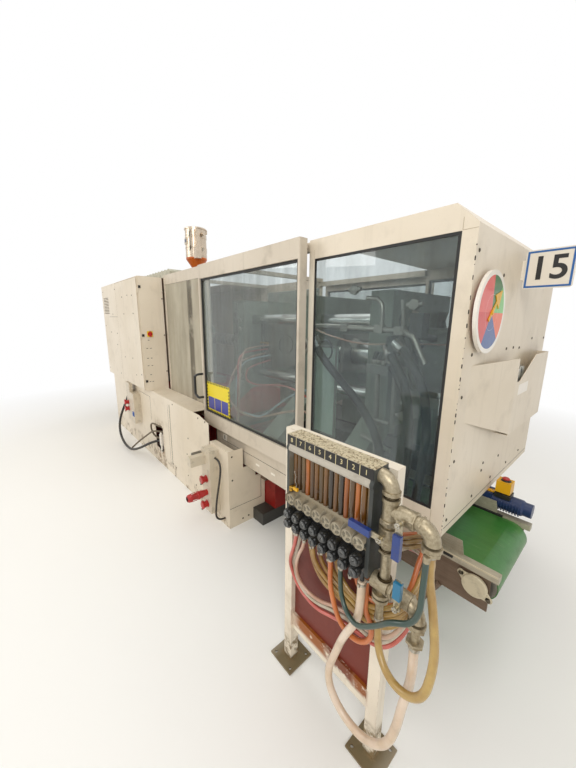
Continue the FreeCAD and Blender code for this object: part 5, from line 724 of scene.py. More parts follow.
# seen through the panes: oil hoses and a thin cable of the clamp, and water hoses of the mould
INNER_HOSES = {
    "clamp_oil_hose_1": (21, "hydraulic_rubber", 1.293, [
        (2150, -195, 1585), (2150, -330, 1590), (2140, -481, 1605), (2155, -576, 1594), (2202, -646, 1563),
        (2267, -682, 1510), (2333, -689, 1415), (2371, -693, 1228), (2377, -692, 1021), (2375, -712, 904),
        (2380, -722, 800),
    ]),
    "clamp_oil_hose_2": (21, "hydraulic_rubber", 1.416, [
        (2215, -165, 1626), (2215, -300, 1640), (2202, -454, 1660), (2214, -580, 1661), (2271, -670, 1625),
        (2340, -711, 1560), (2428, -715, 1442), (2458, -706, 1287), (2466, -702, 1155), (2461, -714, 1001),
        (2451, -725, 881), (2455, -722, 800),
    ]),
    "clamp_oil_hose_3": (19, "hydraulic_rubber", 1.18, [
        (2095, -215, 1530), (2095, -330, 1540), (2088, -457, 1556), (2122, -549, 1539), (2181, -606, 1498),
        (2245, -621, 1437), (2304, -618, 1315), (2333, -638, 1189), (2327, -679, 1033), (2332, -705, 903),
        (2326, -724, 800),
    ]),
    "clamp_oil_hose_4": (24, "hydraulic_rubber", 1.04, [
        (1712, -722, 1640), (1728, -700, 1560), (1770, -670, 1480), (1850, -650, 1395), (1972, -645, 1300),
        (2095, -650, 1190), (2175, -660, 1079), (2215, -680, 975), (2228, -705, 880), (2228, -722, 800),
    ]),
    "clamp_thin_cable": (5, "clear_hose", 0.92, [
        (1704, -736, 1691), (1752, -700, 1660), (1859, -660, 1626), (1960, -645, 1607), (2060, -630, 1600),
        (2150, -560, 1604), (2262, -420, 1606), (2300, -290, 1600), (2300, -180, 1590),
    ]),
    "mould_hose_1": (9, "clear_hose", 1.834, [
        (520, -196, 1395), (528, -480, 1360), (548, -580, 1270), (566, -650, 1160), (600, -690, 1050),
        (680, -706, 975), (803, -708, 938), (930, -708, 926), (1087, -706, 948), (1255, -704, 1004),
        (1400, -702, 1060), (1560, -704, 1110), (1650, -718, 1126), (1704, -735, 1130),
    ]),
    "mould_hose_2": (8, "water_hose", 1.00, [
        (600, -196, 1380), (640, -480, 1370), (676, -600, 1310), (690, -650, 1220), (692, -662, 1117),
        (698, -666, 1010), (720, -676, 905), (760, -690, 820), (790, -705, 760),
    ]),
    "mould_hose_3": (8, "water_hose", 0.899, [
        (1704, -736, 1290), (1640, -715, 1272), (1560, -704, 1240), (1480, -702, 1198), (1390, -702, 1140),
        (1300, -704, 1074), (1205, -706, 1004), (1110, -708, 956), (1010, -708, 944), (900, -708, 944),
    ]),
    "mould_hose_4": (7, "pink_hose", 1.44, [
        (600, -196, 1330), (640, -470, 1300), (700, -560, 1250), (782, -612, 1202), (907, -625, 1185),
        (1060, -625, 1200), (1229, -630, 1232), (1400, -650, 1248), (1560, -690, 1242), (1650, -718, 1232),
        (1704, -736, 1228),
    ]),
    "mould_hose_5": (8, "pink_hose", 1.097, [
        (560, -196, 1440), (590, -470, 1436), (640, -580, 1404), (696, -640, 1345), (734, -665, 1270),
        (748, -672, 1190), (752, -680, 1080), (752, -690, 960), (752, -700, 850), (752, -705, 758),
    ]),
    "mould_hose_6": (8, "clear_hose", 1.123, [
        (580, -196, 1480), (620, -480, 1474), (672, -560, 1436), (730, -625, 1370), (768, -665, 1290),
        (780, -680, 1190), (784, -690, 1060), (784, -700, 940), (784, -705, 840), (784, -705, 758),
    ]),
}


def lay_hose(name, radius, skin, length, points, stiffness="medium"):
    """One free hose or cable as a smooth spline through its route's control points."""
    data = bpy.data.curves.new(name, "CURVE")
    data.dimensions = "3D"
    data.resolution_u = 10
    data.bevel_depth = radius / 1000
    data.bevel_resolution = 4
    data.use_fill_caps = True
    line = data.splines.new("NURBS")
    line.points.add(len(points) - 1)
    for point, (x, y, z) in zip(line.points, points):
        point.co = (x / 1000, y / 1000, z / 1000, 1)
    line.order_u = 3
    line.use_endpoint_u = True
    line.use_smooth = True
    data.materials.append(finish[skin])
    hose = bpy.data.objects.new(name + "_run", data)
    bpy.context.scene.collection.objects.link(hose)
    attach(hose, "machine")
    return hose


def lay_hoses():
    """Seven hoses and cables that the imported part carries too, then those that only the dressed part has."""
    for name, row in HOSES.items():
        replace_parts(lay_hose(name, *row, "stiff" if name == "cable_bundle" else "medium"), name)
    for table in (OUTER_HOSES, INNER_HOSES):
        for name, row in table.items():
            lay_hose(name, *row)


lay_hoses()


# ---------------------------------------------------------------- shaping tools, all in millimetres

UP, DOWN = (0, 0, 1), (0, 0, -1)
FRONT = (0, -1, 0)
ALONG = (1, 0, 0)


def rect(a0, b0, a1, b1):
    """The outline of a rectangle between two corners."""
    return [(a0, b0), (a1, b0), (a1, b1), (a0, b1)]


def lift(axis, level, a, b):
    """A point given in the other two axes, at a level along one axis."""
    return {"x": (level, a, b), "y": (a, level, b), "z": (a, b, level)}[axis]


def circle(sides):
    """Cosine and sine of each corner of a ring."""
    turns = [2 * math.pi * i / sides for i in range(sides)]
    return [(math.cos(turn), math.sin(turn)) for turn in turns]


def add_faces(shape, points, faces, skin=0):
    """Add corner points and the faces between them."""
    corners = [shape.verts.new(point) for point in points]
    for face in faces:
        made = shape.faces.new([corners[i] for i in face])
        made.material_index = skin


def add_block(shape, low, high, skin=0, turn=None):
    """A rectangular block between two corners, turned about its middle where asked."""
    points = [Vector((x, y, z)) for x in (low[0], high[0]) for y in (low[1], high[1]) for z in (low[2], high[2])]
    if turn:
        middle = (Vector(low) + Vector(high)) / 2
        points = [turn @ (point - middle) + middle for point in points]
    faces = [(0, 1, 3, 2), (4, 6, 7, 5), (0, 4, 5, 1), (2, 3, 7, 6), (0, 2, 6, 4), (1, 5, 7, 3)]
    add_faces(shape, points, faces, skin)


def add_slab(shape, outline, low, high, axis, skin=0):
    """A flat piece: an outline in the other two axes, between two levels along one axis."""
    count = len(outline)
    points = [lift(axis, level, a, b) for level in (low, high) for a, b in outline]
    faces = [tuple(range(count)), tuple(range(2 * count - 1, count - 1, -1))]
    faces += [(i, count + i, count + (i + 1) % count, (i + 1) % count) for i in range(count)]
    add_faces(shape, points, faces, skin)


def join_rings(shape, rings, skin, caps=True):
    """Skin a row of rings; a ring of one point is a tip, and open ends are capped where asked."""
    made = []
    for near, far in zip(rings, rings[1:]):
        sides = max(len(near), len(far))
        for i in range(sides):
            j = (i + 1) % sides
            if len(near) == 1:
                made.append(shape.faces.new((near[0], far[j], far[i])))
            elif len(far) == 1:
                made.append(shape.faces.new((near[i], near[j], far[0])))
            else:
                made.append(shape.faces.new((near[i], near[j], far[j], far[i])))
    if caps:
        made += [shape.faces.new(ring) for ring in (rings[0][::-1], rings[-1]) if len(ring) > 1]
    for face in made:
        face.material_index = skin


def add_turned(shape, start, along, profile, skin=0, sides=20):
    """A turned piece: profile rows are (distance along its axis, radius)."""
    axis = Vector(along).normalized()
    first = axis.orthogonal().normalized()
    second = axis.cross(first)
    rings = []
    for reach, radius in profile:
        middle = Vector(start) + axis * reach
        spokes = [radius * (first * c + second * s) for c, s in circle(sides)] if radius > 0 else [Vector()]
        rings.append([shape.verts.new(middle + spoke) for spoke in spokes])
    join_rings(shape, rings, skin)


def add_round(shape, start, end, radius, skin=0, sides=16):
    """A plain round bar between two points."""
    reach = Vector(end) - Vector(start)
    add_turned(shape, start, reach, [(0, radius), (reach.length, radius)], skin, sides)


def add_hexagon(shape, start, along, across, reach, skin=0):
    """A six-sided nut or union with eased ends."""
    radius = across / math.sqrt(3)
    rows = [(0, radius * 0.9), (reach * 0.15, radius), (reach * 0.85, radius), (reach, radius * 0.9)]
    add_turned(shape, start, along, rows, skin, 6)


def add_screw(shape, place, outward, radius=8, skin=0):
    """A pan-head screw with a recess, seated a little into its sheet."""
    stand = 3.2
    rows = [(-1, radius), (stand * 0.5, radius), (stand, radius * 0.72), (stand, radius * 0.34)]
    rows += [(stand * 0.45, radius * 0.3), (stand * 0.45, 0)]
    add_turned(shape, place, outward, rows, skin, 12)


def add_frame(shape, outer, width, low, high, axis, skin=0):
    """A rectangular ring: outer is (a0, b0, a1, b1) in the other two axes."""
    a0, b0, a1, b1 = outer
    loops = [rect(a0 + edge, b0 + edge, a1 - edge, b1 - edge) for edge in (0, width)]
    points = [lift(axis, level, a, b) for level in (low, high) for loop in loops for a, b in loop]
    faces = []
    for i in range(4):
        j = (i + 1) % 4
        faces += [(i, j, 4 + j, 4 + i), (8 + i, 12 + i, 12 + j, 8 + j)]
        faces += [(i, 8 + i, 8 + j, j), (4 + i, 4 + j, 12 + j, 12 + i)]
    add_faces(shape, points, faces, skin)


def add_run(shape, points, radius, skin=0, sides=10, caps=True):
    """A rigid pipe or bar that follows its points, mitred at each."""
    points = [Vector(point) for point in points]
    rings = []
    up = None
    for i, point in enumerate(points):
        back = (point - points[i - 1]).normalized() if i else None
        ahead = (points[i + 1] - point).normalized() if i + 1 < len(points) else None
        way = ((back or ahead) + (ahead or back)).normalized()
        up = (up - way * up.dot(way)).normalized() if up else way.orthogonal().normalized()
        side = way.cross(up)
        reach = radius / max(0.5, way.dot(back)) if back and ahead else radius
        rings.append([shape.verts.new(point + reach * (up * c + side * s)) for c, s in circle(sides)])
    join_rings(shape, rings, skin, caps)


def build(name, skins, rows, body="machine", bevel=0.0, smooth=35):
    """One piece that rides on its body: each row is a shaping tool and what that tool is given."""
    shape = bmesh.new()
    for tool, *given in rows:
        tool(shape, *given)
    bmesh.ops.scale(shape, vec=(0.001, 0.001, 0.001), verts=shape.verts)
    bmesh.ops.recalc_face_normals(shape, faces=shape.faces)
    mesh = bpy.data.meshes.new(name)
    shape.to_mesh(mesh)
    shape.free()
    mesh.shade_smooth()
    mesh.set_sharp_from_angle(angle=math.radians(smooth))
    for skin in skins:
        mesh.materials.append(finish[skin])
    piece = bpy.data.objects.new(name, mesh)
    bpy.context.scene.collection.objects.link(piece)
    if bevel:
        edge = piece.modifiers.new("eased_edges", "BEVEL")
        edge.width = bevel / 1000
        edge.segments = 2
        edge.limit_method = "ANGLE"
        edge.angle_limit = math.radians(40)
    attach(piece, body)


def add_words(name, text, place, size, skin, depth, bold=0.0):
    """Plain figures that face the front, standing a little proud of their plate."""
    data = bpy.data.curves.new(name, "FONT")
    data.body = text
    data.size = size / 1000
    data.extrude = depth / 1000
    data.offset = bold / 1000
    data.align_x = "CENTER"
    data.align_y = "CENTER"
    data.materials.append(finish[skin])
    piece = bpy.data.objects.new(name, data)
    piece.location = [value / 1000 for value in place]
    piece.rotation_euler = (math.radians(90), 0, 0)
    bpy.context.scene.collection.objects.link(piece)
    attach(piece, "machine")


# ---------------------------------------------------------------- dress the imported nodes

SINGLE_FINISH = {
    "conveyor_frame": "conveyor_metal",
    "roof_duct": "faded_duct",
    "gate_front": "gate_mix",
    "gate_rear": "gate_mix",
    "manifold_body": "manifold_mix",
    "valve_lever_main": "valve_steel",
    "valve_lever_branch": "valve_steel",
    "valve_lever_return": "valve_steel",
}


def dress_nodes():
    """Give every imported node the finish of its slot, or its own."""
    for entry in frame["record"]["subparts"]:
        name = entry["node"]
        skin = finish[SINGLE_FINISH.get(name, entry["material_slot"])]
        places = nodes[name].material_slots
        if not places:
            nodes[name].data.materials.append(skin)
        for place in places:
            place.material = skin


dress_nodes()


# ---------------------------------------------------------------- windows, labels and signs


def dress_windows():
    """Black rubber round each pane and the film on its inner side."""
    for side, body, way in (("front", "front_gate", -1), ("rear", "rear_gate", 1)):
        build("gate_seal_" + side, ["rubber_seal"], [
            (add_frame, (445, 885, 1700, 2075), 16, way * 846, way * 834, "y"),
        ], body, bevel=1.5)
        build("gate_film_" + side, ["gate_haze"], [
            (add_slab, rect(447, 887, 1698, 2073), way * 828.6, way * 828.2, "y"),
        ], body)
        for part, outline, level in (
            ("guard", rect(-653, 852, 373, 2113), 748.2),
            ("clamp", rect(1734, 859, 2538, 2081), 740),
        ):
            build(f"{part}_film_{side}", [part + "_haze"], [
                (add_slab, outline, way * (level - 0.6), way * (level - 1.0), "y"),
            ])
    for side, way in (("front", -1), ("rear", 1)):
        build("clamp_seal_" + side, ["rubber_seal"], [
            (add_frame, (1732, 857, 2540, 2083), 14, way * 748, way * 741, "y"),
        ], bevel=1.5)


def stick_labels():
    """The yellow plate on the gate pane, left without its signs, and the bare label on the end panel."""
    marks = [(463 + i * 28.6, z) for i in range(14) for z in (897, 1153)]
    marks += [(x, 918 + i * 29) for i in range(8) for x in (462, 843)]
    build("gate_plate", ["label_yellow", "print_black", "label_blue"], [
        (add_slab, rect(460, 895, 860, 1170), -836.4, -834.8, "y", 0),
        *[(add_block, (x, -837, z), (x + 15, -836, z + 15), 1) for x, z in marks],
        *[(add_slab, rect(x, 920, x + 112, 1034), -837, -836, "y", 2) for x in (484, 604, 724)],
    ], "front_gate")
    build("pocket_label", ["white_plate"], [
        (add_slab, rect(-56, 1330, 150, 1390), 2659.5, 2661.0, "x"),
    ], bevel=0.4)


def letter_sign():
    """Blue rounded border and the plain figure on the number plate."""
    build("sign_border", ["sign_blue"], [
        (add_frame, (2618, 1906, 2806, 2084), 9, low, high, "y") for low, high in ((-91.6, -89.6), (-86.4, -85.2))
    ], bevel=0.5)
    add_words("sign_figure", "15", (2712, -90.4, 1994), 158, "print_black", 0.8, 2.6)


dress_windows()
stick_labels()
letter_sign()


# ---------------------------------------------------------------- water manifold

BOTTLES = [2228 + 48 * i for i in range(8)]
BOTTLE_HEIGHT = 1009
KNOB_HEIGHTS = (953, 908)


def number_manifold():
    """Eight numbered plates, counted from the pipe end, with a pale gap between them."""
    first, pitch = 2194, 50.25
    gaps = [first + i * pitch for i in range(1, 8)]
    build("number_strip", ["print_black", "print_cream"], [
        (add_block, (2193, -1351.6, 1243), (2597, -1349, 1279), 0),
        *[(add_block, (x - 1.2, -1352.0, 1243), (x + 1.2, -1351, 1279), 1) for x in gaps],
    ], bevel=0.2)
    for i in range(8):
        middle = first + (i + 0.5) * pitch
        add_words(f"number_{8 - i}", str(8 - i), (middle, -1351.9, 1261), 25, "print_cream", 0.3)


def sight_window(middle, part):
    """The outline of one of the three windows of a sight face."""
    first = math.radians(part * 120 + 20)
    turns = [first + math.radians(80) * k / 6 for k in range(7)]
    arcs = [(17.5, t) for t in turns] + [(8, t) for t in reversed(turns)]
    return [(middle + radius * math.cos(t), BOTTLE_HEIGHT + radius * math.sin(t)) for radius, t in arcs]


def cap_bottles():
    """The round sight face on each bottle: lip, hub and three dark windows, and the joint to the next one."""
    lip = [(-6, 23.2), (2.4, 23.2), (3.4, 22.4), (3.4, 20.4), (1.0, 19.6), (1.0, 0)]
    hub = [(0, 6), (3.2, 5.4), (3.6, 0)]
    rows = []
    for x in BOTTLES:
        face = (x, -1362, BOTTLE_HEIGHT)
        rows += [(add_turned, face, FRONT, lip, 0, 28), (add_turned, face, FRONT, hub, 0, 16)]
        rows += [(add_slab, sight_window(x, part), -1364.0, -1362.5, "y", 1) for part in range(3)]
        rows.append((add_round, (x - 24.4, -1345, BOTTLE_HEIGHT), (x - 23.4, -1345, BOTTLE_HEIGHT), 26.5, 2, 28))
    build("bottle_faces", ["bottle_grey", "bottle_window", "bottle_joint"], rows, bevel=0.3)


def cap_knobs():
    """Glossy caps on the sixteen knobs, each with a near-black bar of painted shade for its driver slot, and a bright
    collar behind each.
    """
    cap = [(-3, 15.5), (1.4, 15.5), (3.0, 13.6), (3.4, 9.0), (2.6, 7.6), (2.6, 0)]
    rows = []
    for z in KNOB_HEIGHTS:
        for i, x in enumerate(BOTTLES):
            turn = Matrix.Rotation(math.radians(25 * ((i * 5 + z) % 7) - 70), 3, "Y")
            rows += [
                (add_turned, (x, -1386, z), FRONT, cap, 0, 24),
                # the driver slot: a raised near-black bar that paints the slot's shade
                (add_block, (x - 6.6, -1389.1, z - 1.3), (x + 6.6, -1388.0, z + 1.3), 1, turn),
                (add_turned, (x, -1354, z), (0, 1, 0), [(-2, 12), (4, 12)], 2, 16),
            ]
    build("knob_caps", ["knob_gloss", "cap_slot", "screw_steel"], rows, bevel=0.3)


def clip_hoses():
    """A worm-drive clip on each hose at its spout, wider on the white hose."""
    rows = []
    spouts = [(x, y) for x in BOTTLES for y in (-1325, -1295)]
    for number, (x, y) in enumerate(spouts):
        radius = 16.2 if (x, y) == (2564, -1325) else 11.2
        band = [(0, radius - 1), (0.4, radius), (9.6, radius), (10, radius - 1)]
        lean = math.radians((number * 47) % 120 - 60)
        middle = Vector((x, y, 831)) + Vector((math.sin(lean), -math.cos(lean), 0)) * (radius + 2)
        half = Vector((5, 3, 5))
        rows += [
            (add_turned, (x, y, 826), UP, band, 0, 20),
            (add_block, middle - half, middle + half, 0, Matrix.Rotation(lean, 3, "Z")),
        ]
    build("hose_clips", ["clip_steel"], rows, bevel=0.3)


def add_bleed_valve():
    """The small brass valve with its yellow handle and ball chain on the first bottle."""
    bead = [(-2, 1), (-1, 2.2), (1, 2.2), (2, 1)]
    chain = [(2246 - 0.6 * i + 3 * math.sin(i * 0.9), -1349, 1066 + 5.2 * i) for i in range(14)]
    build("bleed_valve", ["brass", "yellow_plastic", "clip_steel"], [
        (add_turned, (2212, -1345, 1034), UP, [(0, 7), (10, 7), (12, 9), (20, 9), (22, 7), (25, 0)], 0, 16),
        (add_hexagon, (2212, -1345, 1036), UP, 17, 7, 0),
        (add_round, (2212, -1347, 1052), (2212, -1334, 1052), 7, 0),
        (add_round, (2212, -1347, 1052), (2252, -1347, 1058), 5, 0),
        (add_block, (2232, -1354, 1051), (2256, -1345, 1064), 1),
        *[(add_turned, place, UP, bead, 2, 8) for place in chain],
    ], bevel=0.4)


number_manifold()
cap_bottles()
cap_knobs()
clip_hoses()
add_bleed_valve()


# ---------------------------------------------------------------- pipe fittings and levers

PIPE_LEVEL = -1311
# body of the lever: (its pivot, its way, its reach, the colour of its sleeve)
LEVERS = {
    "lever_main": ((2640, 1068), (-1, 0), 116, "valve_blue"),
    "lever_branch": ((2697, 1150), (0, -1), 116, "valve_blue"),
    "lever_return": ((2712, 872), (0, 1), 92, "lever_teal"),
}


def fit_pipes():
    """Unions, thread rings and clips of the pipework."""
    thread = [(0, 21), (1, 23.5), (2.4, 23.5), (3.4, 21)]
    upright = ((1204, 52, 12), (1176, 50, 9), (1098, 54, 20), (1022, 54, 20), (996, 48, 9))
    branches = (
        (2672, 1150, 50, 10), (2712, 1150, 52, 16), (2738, 1150, 48, 8), (2668, 872, 50, 10), (2694, 872, 50, 14),
    )
    rows = [(add_hexagon, (2640, PIPE_LEVEL, z), UP, across, reach, 0) for z, across, reach in upright]
    rows += [
        (add_turned, (2640, PIPE_LEVEL, z), UP, thread, 1, 24) for z in (1192, 1197, 1120, 1012, 1007, 896, 901)
    ]
    rows += [(add_hexagon, (x, PIPE_LEVEL, z), ALONG, across, reach, 0) for x, z, across, reach in branches]
    rows += [(add_hexagon, (x, PIPE_LEVEL, z), UP, 50, 12, 0) for x, z in ((2758, 744), (2758, 800), (2776, 1078))]
    for x, z, radius in ((2758, 724, 17.4), (2776, 1068, 14.6), (2630, 726, 15.6)):
        band = [(0, radius), (0.6, radius + 1), (10, radius + 1), (10.6, radius)]
        rows.append((add_turned, (x, PIPE_LEVEL, z), UP, band, 2, 20))
    build("pipe_unions", ["galvanised", "thread_dark", "clip_steel"], rows, bevel=0.8)


def fit_levers():
    """The coloured sleeve and the nut of each ball valve's lever."""
    start, half = 34, 12.5
    for body, ((x, z), (a, b), reach, skin) in LEVERS.items():
        xs, zs = sorted((x + a * start, x + a * reach)), sorted((z + b * start, z + b * reach))
        low = (xs[0] - half * abs(b), -1369.5, zs[0] - half * abs(a))
        high = (xs[1] + half * abs(b), -1352.5, zs[1] + half * abs(a))
        build(body + "_sleeve", [skin, "clip_steel"], [
            (add_block, low, high, 0),
            (add_hexagon, (x, -1367, z), FRONT, 17, 7, 1),
            (add_turned, (x, -1373, z), FRONT, [(0, 4), (5, 4), (6, 3), (6, 0)], 1, 14),
        ], body, bevel=2.2)


fit_pipes()
fit_levers()


# ---------------------------------------------------------------- what stands behind the panes


def furnish_clamp():
    """Pipes, valve block and small parts seen through the clamp pane, in front of the cylinder."""
    rail = [
        (1700, -735, 1693), (1760, -640, 1693), (1887, -632, 1691), (2128, -632, 1687), (2262, -632, 1682),
        (2318, -632, 1655), (2345, -632, 1600), (2388, -632, 1522),
    ]
    riser = [(2008, -600, 1858), (2078, -600, 1850), (2108, -600, 1820), (2114, -600, 1780), (2116, -600, 1687)]
    ring = [2 * math.pi * i / 24 for i in range(25)]
    ring = [(1745 + 56 * math.cos(t), -640, 1544 + 62 * math.sin(t)) for t in ring]
    straight = (
        ((2109, -600, 1441), (2132, -600, 900), 15), ((2218, -600, 1440), (2224, -600, 1110), 14),
        ((2070, -610, 1163), (2212, -610, 1168), 11), ((2030, -610, 1050), (2230, -610, 1010), 12),
    )
    rows = [
        (add_run, rail, 16, 0, 14),
        (add_run, riser, 12, 0, 12),
        (add_run, [(2226, -600, 1840), (2238, -600, 1760), (2240, -600, 1687)], 9, 0, 10),
        (add_block, (2058, -640, 1440), (2200, -560, 1492), 1),
        *[(add_round, start, end, radius, 0) for start, end, radius in straight],
        (add_slab, rect(1612, 959, 1811, 1570), -600, -590, "y", 3),
        (add_frame, (1612, 959, 1811, 1570), 14, -604, -598, "y", 1),
        (add_run, ring, 6, 2, 8, False),
        (add_block, (1960, -690, 850), (2160, -560, 905), 1),
        (add_block, (1800, -690, 860), (1905, -600, 886), 0),
    ]
    for x in (2080, 2116, 2152, 2184):
        rows.append((add_hexagon, (x, -600, 1490), UP, 34, 26, 0))
        rows.append((add_round, (x, -600, 1510), (x + 14, -590, 1560), 13, 2))
    for x, z in ((2125, 1690), (2245, 1684), (1890, 1692)):
        rows.append((add_block, (x - 26, -652, z - 24), (x + 26, -612, z + 20), 0))
    for x, z in ((1930, 1905), (2300, 1812), (1955, 1600), (2290, 1230)):
        rows.append((add_hexagon, (x, -600, z), FRONT, 52, 26, 0))
        rows.append((add_round, (x - 40, -612, z), (x + 44, -612, z + 4), 12, 0))
    for x, z, tall in ((2290, 1500, 150), (2330, 1650, 120), (2210, 1560, 90)):
        rows.append((add_block, (x - 34, -640, z), (x + 34, -570, z + tall), 2))
    build("clamp_fittings", ["old_steel", "casting_grey", "hydraulic_rubber", "interior_green"], rows, bevel=1.5)


def sleeve_hoses():
    """Crimped steel ends where the oil hoses start."""
    build("hose_crimps", ["chrome_bar"], [
        (add_round, (2245, -668, 1622), (2300, -690, 1590), 27, 0, 20),
        (add_round, (2163, -608, 1590), (2212, -662, 1546), 26, 0, 20),
        (add_round, (1714, -720, 1632), (1728, -700, 1572), 29, 0, 20),
        (add_round, (2132, -568, 1534), (2180, -602, 1500), 24, 0, 20),
    ], bevel=2)


def furnish_mould():
    """Distributors, terminals and a port on the platens, seen through the gate pane."""
    terminals = [(x, z) for z in (1500, 1560, 1700, 1760) for x in (274, 308)]
    nipple = [(0, 8), (22, 8), (24, 6), (30, 6)]
    build("mould_fittings", ["casting_grey", "print_black", "brass", "clip_steel"], [
        (add_block, (262, -409, 1404), (342, -399, 1889), 0),
        *[(add_block, (x, -416, z), (x + 22, -408, z + 38), 1) for x, z in terminals],
        *[(add_turned, (470 + i * 22, -196 - 0.5 * i, 1500), FRONT, nipple, 2, 12) for i in range(6)],
        *[(add_hexagon, (380, -399, z), FRONT, 38, 16, 3) for z in (1160, 1260, 1640, 1720)],
    ], bevel=1.2)
    flange = [(-2, 66), (10, 66), (14, 62), (14, 52), (4, 50), (4, 0)]
    build("platen_port", ["old_steel", "print_black"], [
        (add_turned, (1290, -400, 1532), FRONT, flange, 0, 32),
        (add_turned, (1290, -403, 1532), FRONT, [(0, 40), (5, 38), (5, 0)], 1, 24),
    ], "moving_clamp", bevel=1.2)


furnish_clamp()
sleeve_hoses()
furnish_mould()


# ---------------------------------------------------------------- screws, seams and small marks

# sheet: (axis its face looks along, level of the face, places in the other two axes)
SCREWS = {
    "end": ("x", 2600, [
        (-720, 2006), (-375, 1945), (372, 1632), (715, 1626), (-159, 1592), (-28, 1592), (96, 1585), (-657, 1591),
        (-713, 1410), (-97, 825), (-708, 1111), (-394, 816), (-713, 818), (8, 931), (215, 822), (-288, 930),
        (512, 825), (-274, 970), (700, 2040), (700, 1180),
    ]),
    "bed": ("y", -965, [
        (-98, 845), (509, 846), (264, 576), (-185, 137), (-96, 124), (399, 132), (650, 846), (-2500, 846),
        (-2500, 60),
    ]),
    "cabinet": ("y", -1020, [
        (-2021, 1791), (-2216, 1530), (-1874, 1523), (-2529, 1617), (-1913, 1363), (-1753, 1397), (-1852, 954),
        (-2520, 2120), (-1800, 2120), (-2520, 960),
    ]),
    "door": ("y", -1038, [
        (-1392, 1997), (-1145, 2007), (-960, 1997), (-1361, 1788), (-953, 1790), (-1488, 1225), (-1132, 1242),
        (-1029, 1043), (-819, 1072),
    ]),
    "block": ("x", 1030, [(-777, 49), (-836, 45), (-930, 433), (-930, 640), (-700, 640)]),
}
SEAM_DEPTH, SEAM_STAND = 0.5, 0.8
SEAMS = {
    "bed": ("y", -965, [
        (-203, 131, -200, 822), (-192, 131, -189, 822), (-251, 131, -249, 822), (-203, 128, -189, 131),
        (-1271, 788, -828, 791), (-1271, 490, -1268, 790), (-831, 490, -828, 790),
    ]),
    "cabinet": ("y", -1020, [(-2229, 1751, -1706, 1754), (-1706, 892, -1703, 2188)]),
    "end": ("x", 2600, [(180, 1034, 698, 1037), (-735, 780, 735, 782)]),
    "block": ("x", 1030, [(-644, 179, -640, 429), (-960, 178, -640, 181), (-644, 429, -641, 680)]),
    "rail": ("y", -800, [(640, 646, 2330, 649), (640, 730, 2390, 732)]),
}


def drive_screws():
    """The sheet screws, where the machine shows them."""
    for name, (axis, level, places) in SCREWS.items():
        outward = ALONG if axis == "x" else FRONT
        rows = [(add_screw, lift(axis, level, a, b), outward) for a, b in places]
        build(name + "_screws", ["screw_steel"], rows, "door" if name == "door" else "machine")


def scribe_seams():
    """The dark joint lines between sheets."""
    for name, (axis, level, lines) in SEAMS.items():
        way = -1 if level < 0 else 1
        near, far = sorted((level - way * SEAM_DEPTH, level + way * SEAM_STAND))
        build(name + "_seams", ["shadow_gap"], [(add_slab, rect(*line), near, far, axis) for line in lines])


def mark_corner():
    """Chipped folds down the corner of the clamp housing and the mitre lines of its frame."""
    rows = []
    chance = random.Random(15)
    z = 780
    while z < 2080:
        reach = chance.choice((3, 5, 9, 17))
        side = chance.uniform(0, 2)
        rows.append((add_block, (2598.6 - side, -750.7, z), (2600.7, -748.6 + side, z + reach), 0))
        z += reach + chance.choice((14, 22, 38, 60))
    build("corner_chips", ["shadow_gap"], rows, bevel=0.4)
    lines = (
        (2541, 2085, 2542.6, 2132), (2542, 2084, 2599, 2085.6), (2541, 752, 2542.6, 856), (1727, 2084, 1728.6, 2132),
    )
    build("frame_joints", ["faint_seam"], [(add_slab, rect(*line), -750.7, -749.5, "y") for line in lines])


drive_screws()
scribe_seams()
mark_corner()


# ---------------------------------------------------------------- electrical fittings


def cap_sockets():
    """Lids, collars and grips of the red sockets, the blue socket and the heavy connector."""
    lid = [(-8, 30), (-6, 33), (1, 33), (3, 30), (4, 26), (4, 0)]
    plug = [(0, 33.5), (2, 35), (30, 31), (36, 24), (38, 24), (38, 0)]
    rows = []
    for x, z in ((805, 399), (805, 166), (-1495, 601), (-1495, 511)):
        rows += [
            (add_turned, (x, -1098, z), FRONT, lid, 0, 28),
            (add_turned, (x, -1051, z), FRONT, [(0, 33), (5, 33), (7, 30)], 0, 28),
            (add_block, (x - 13, -1104, z + 27), (x + 13, -1084, z + 38), 0),
            (add_block, (x - 6, -1106, z - 38), (x + 6, -1090, z - 28), 1),
        ]
    for c, s in circle(10):
        x, z = 805 + 34 * c, 274 + 34 * s
        rows.append((add_round, (x, -1150, z), (x, -1186, z), 2.4, 0, 8))
    screws = ((700, -1124, 560), (700, -1124, 604), (745, -1050, 120), (745, -1180, 450), (745, -1180, 640))
    rows += [
        (add_turned, (805, -1120, 274), FRONT, [(0, 34), (6, 36), (16, 36), (20, 33)], 0, 28),
        (add_turned, (805, -1190, 274), FRONT, plug, 0, 28),
        (add_block, (-1325, -1057, 440), (-1262, -1049, 505), 2),
        (add_turned, (-1293, -1056, 472), FRONT, [(0, 25), (4, 25), (6, 22), (6, 0)], 2, 24),
        (add_block, (690, -1124, 548), (736, -1040, 616), 1),
        (add_turned, (712, -1082, 548), DOWN, [(0, 18), (10, 18), (14, 14), (30, 13)], 1, 18),
        *[(add_screw, place, FRONT, 5, 3) for place in screws],
    ]
    build("socket_caps", ["red_plastic", "connector_grey", "socket_blue", "screw_steel"], rows, bevel=1.2)


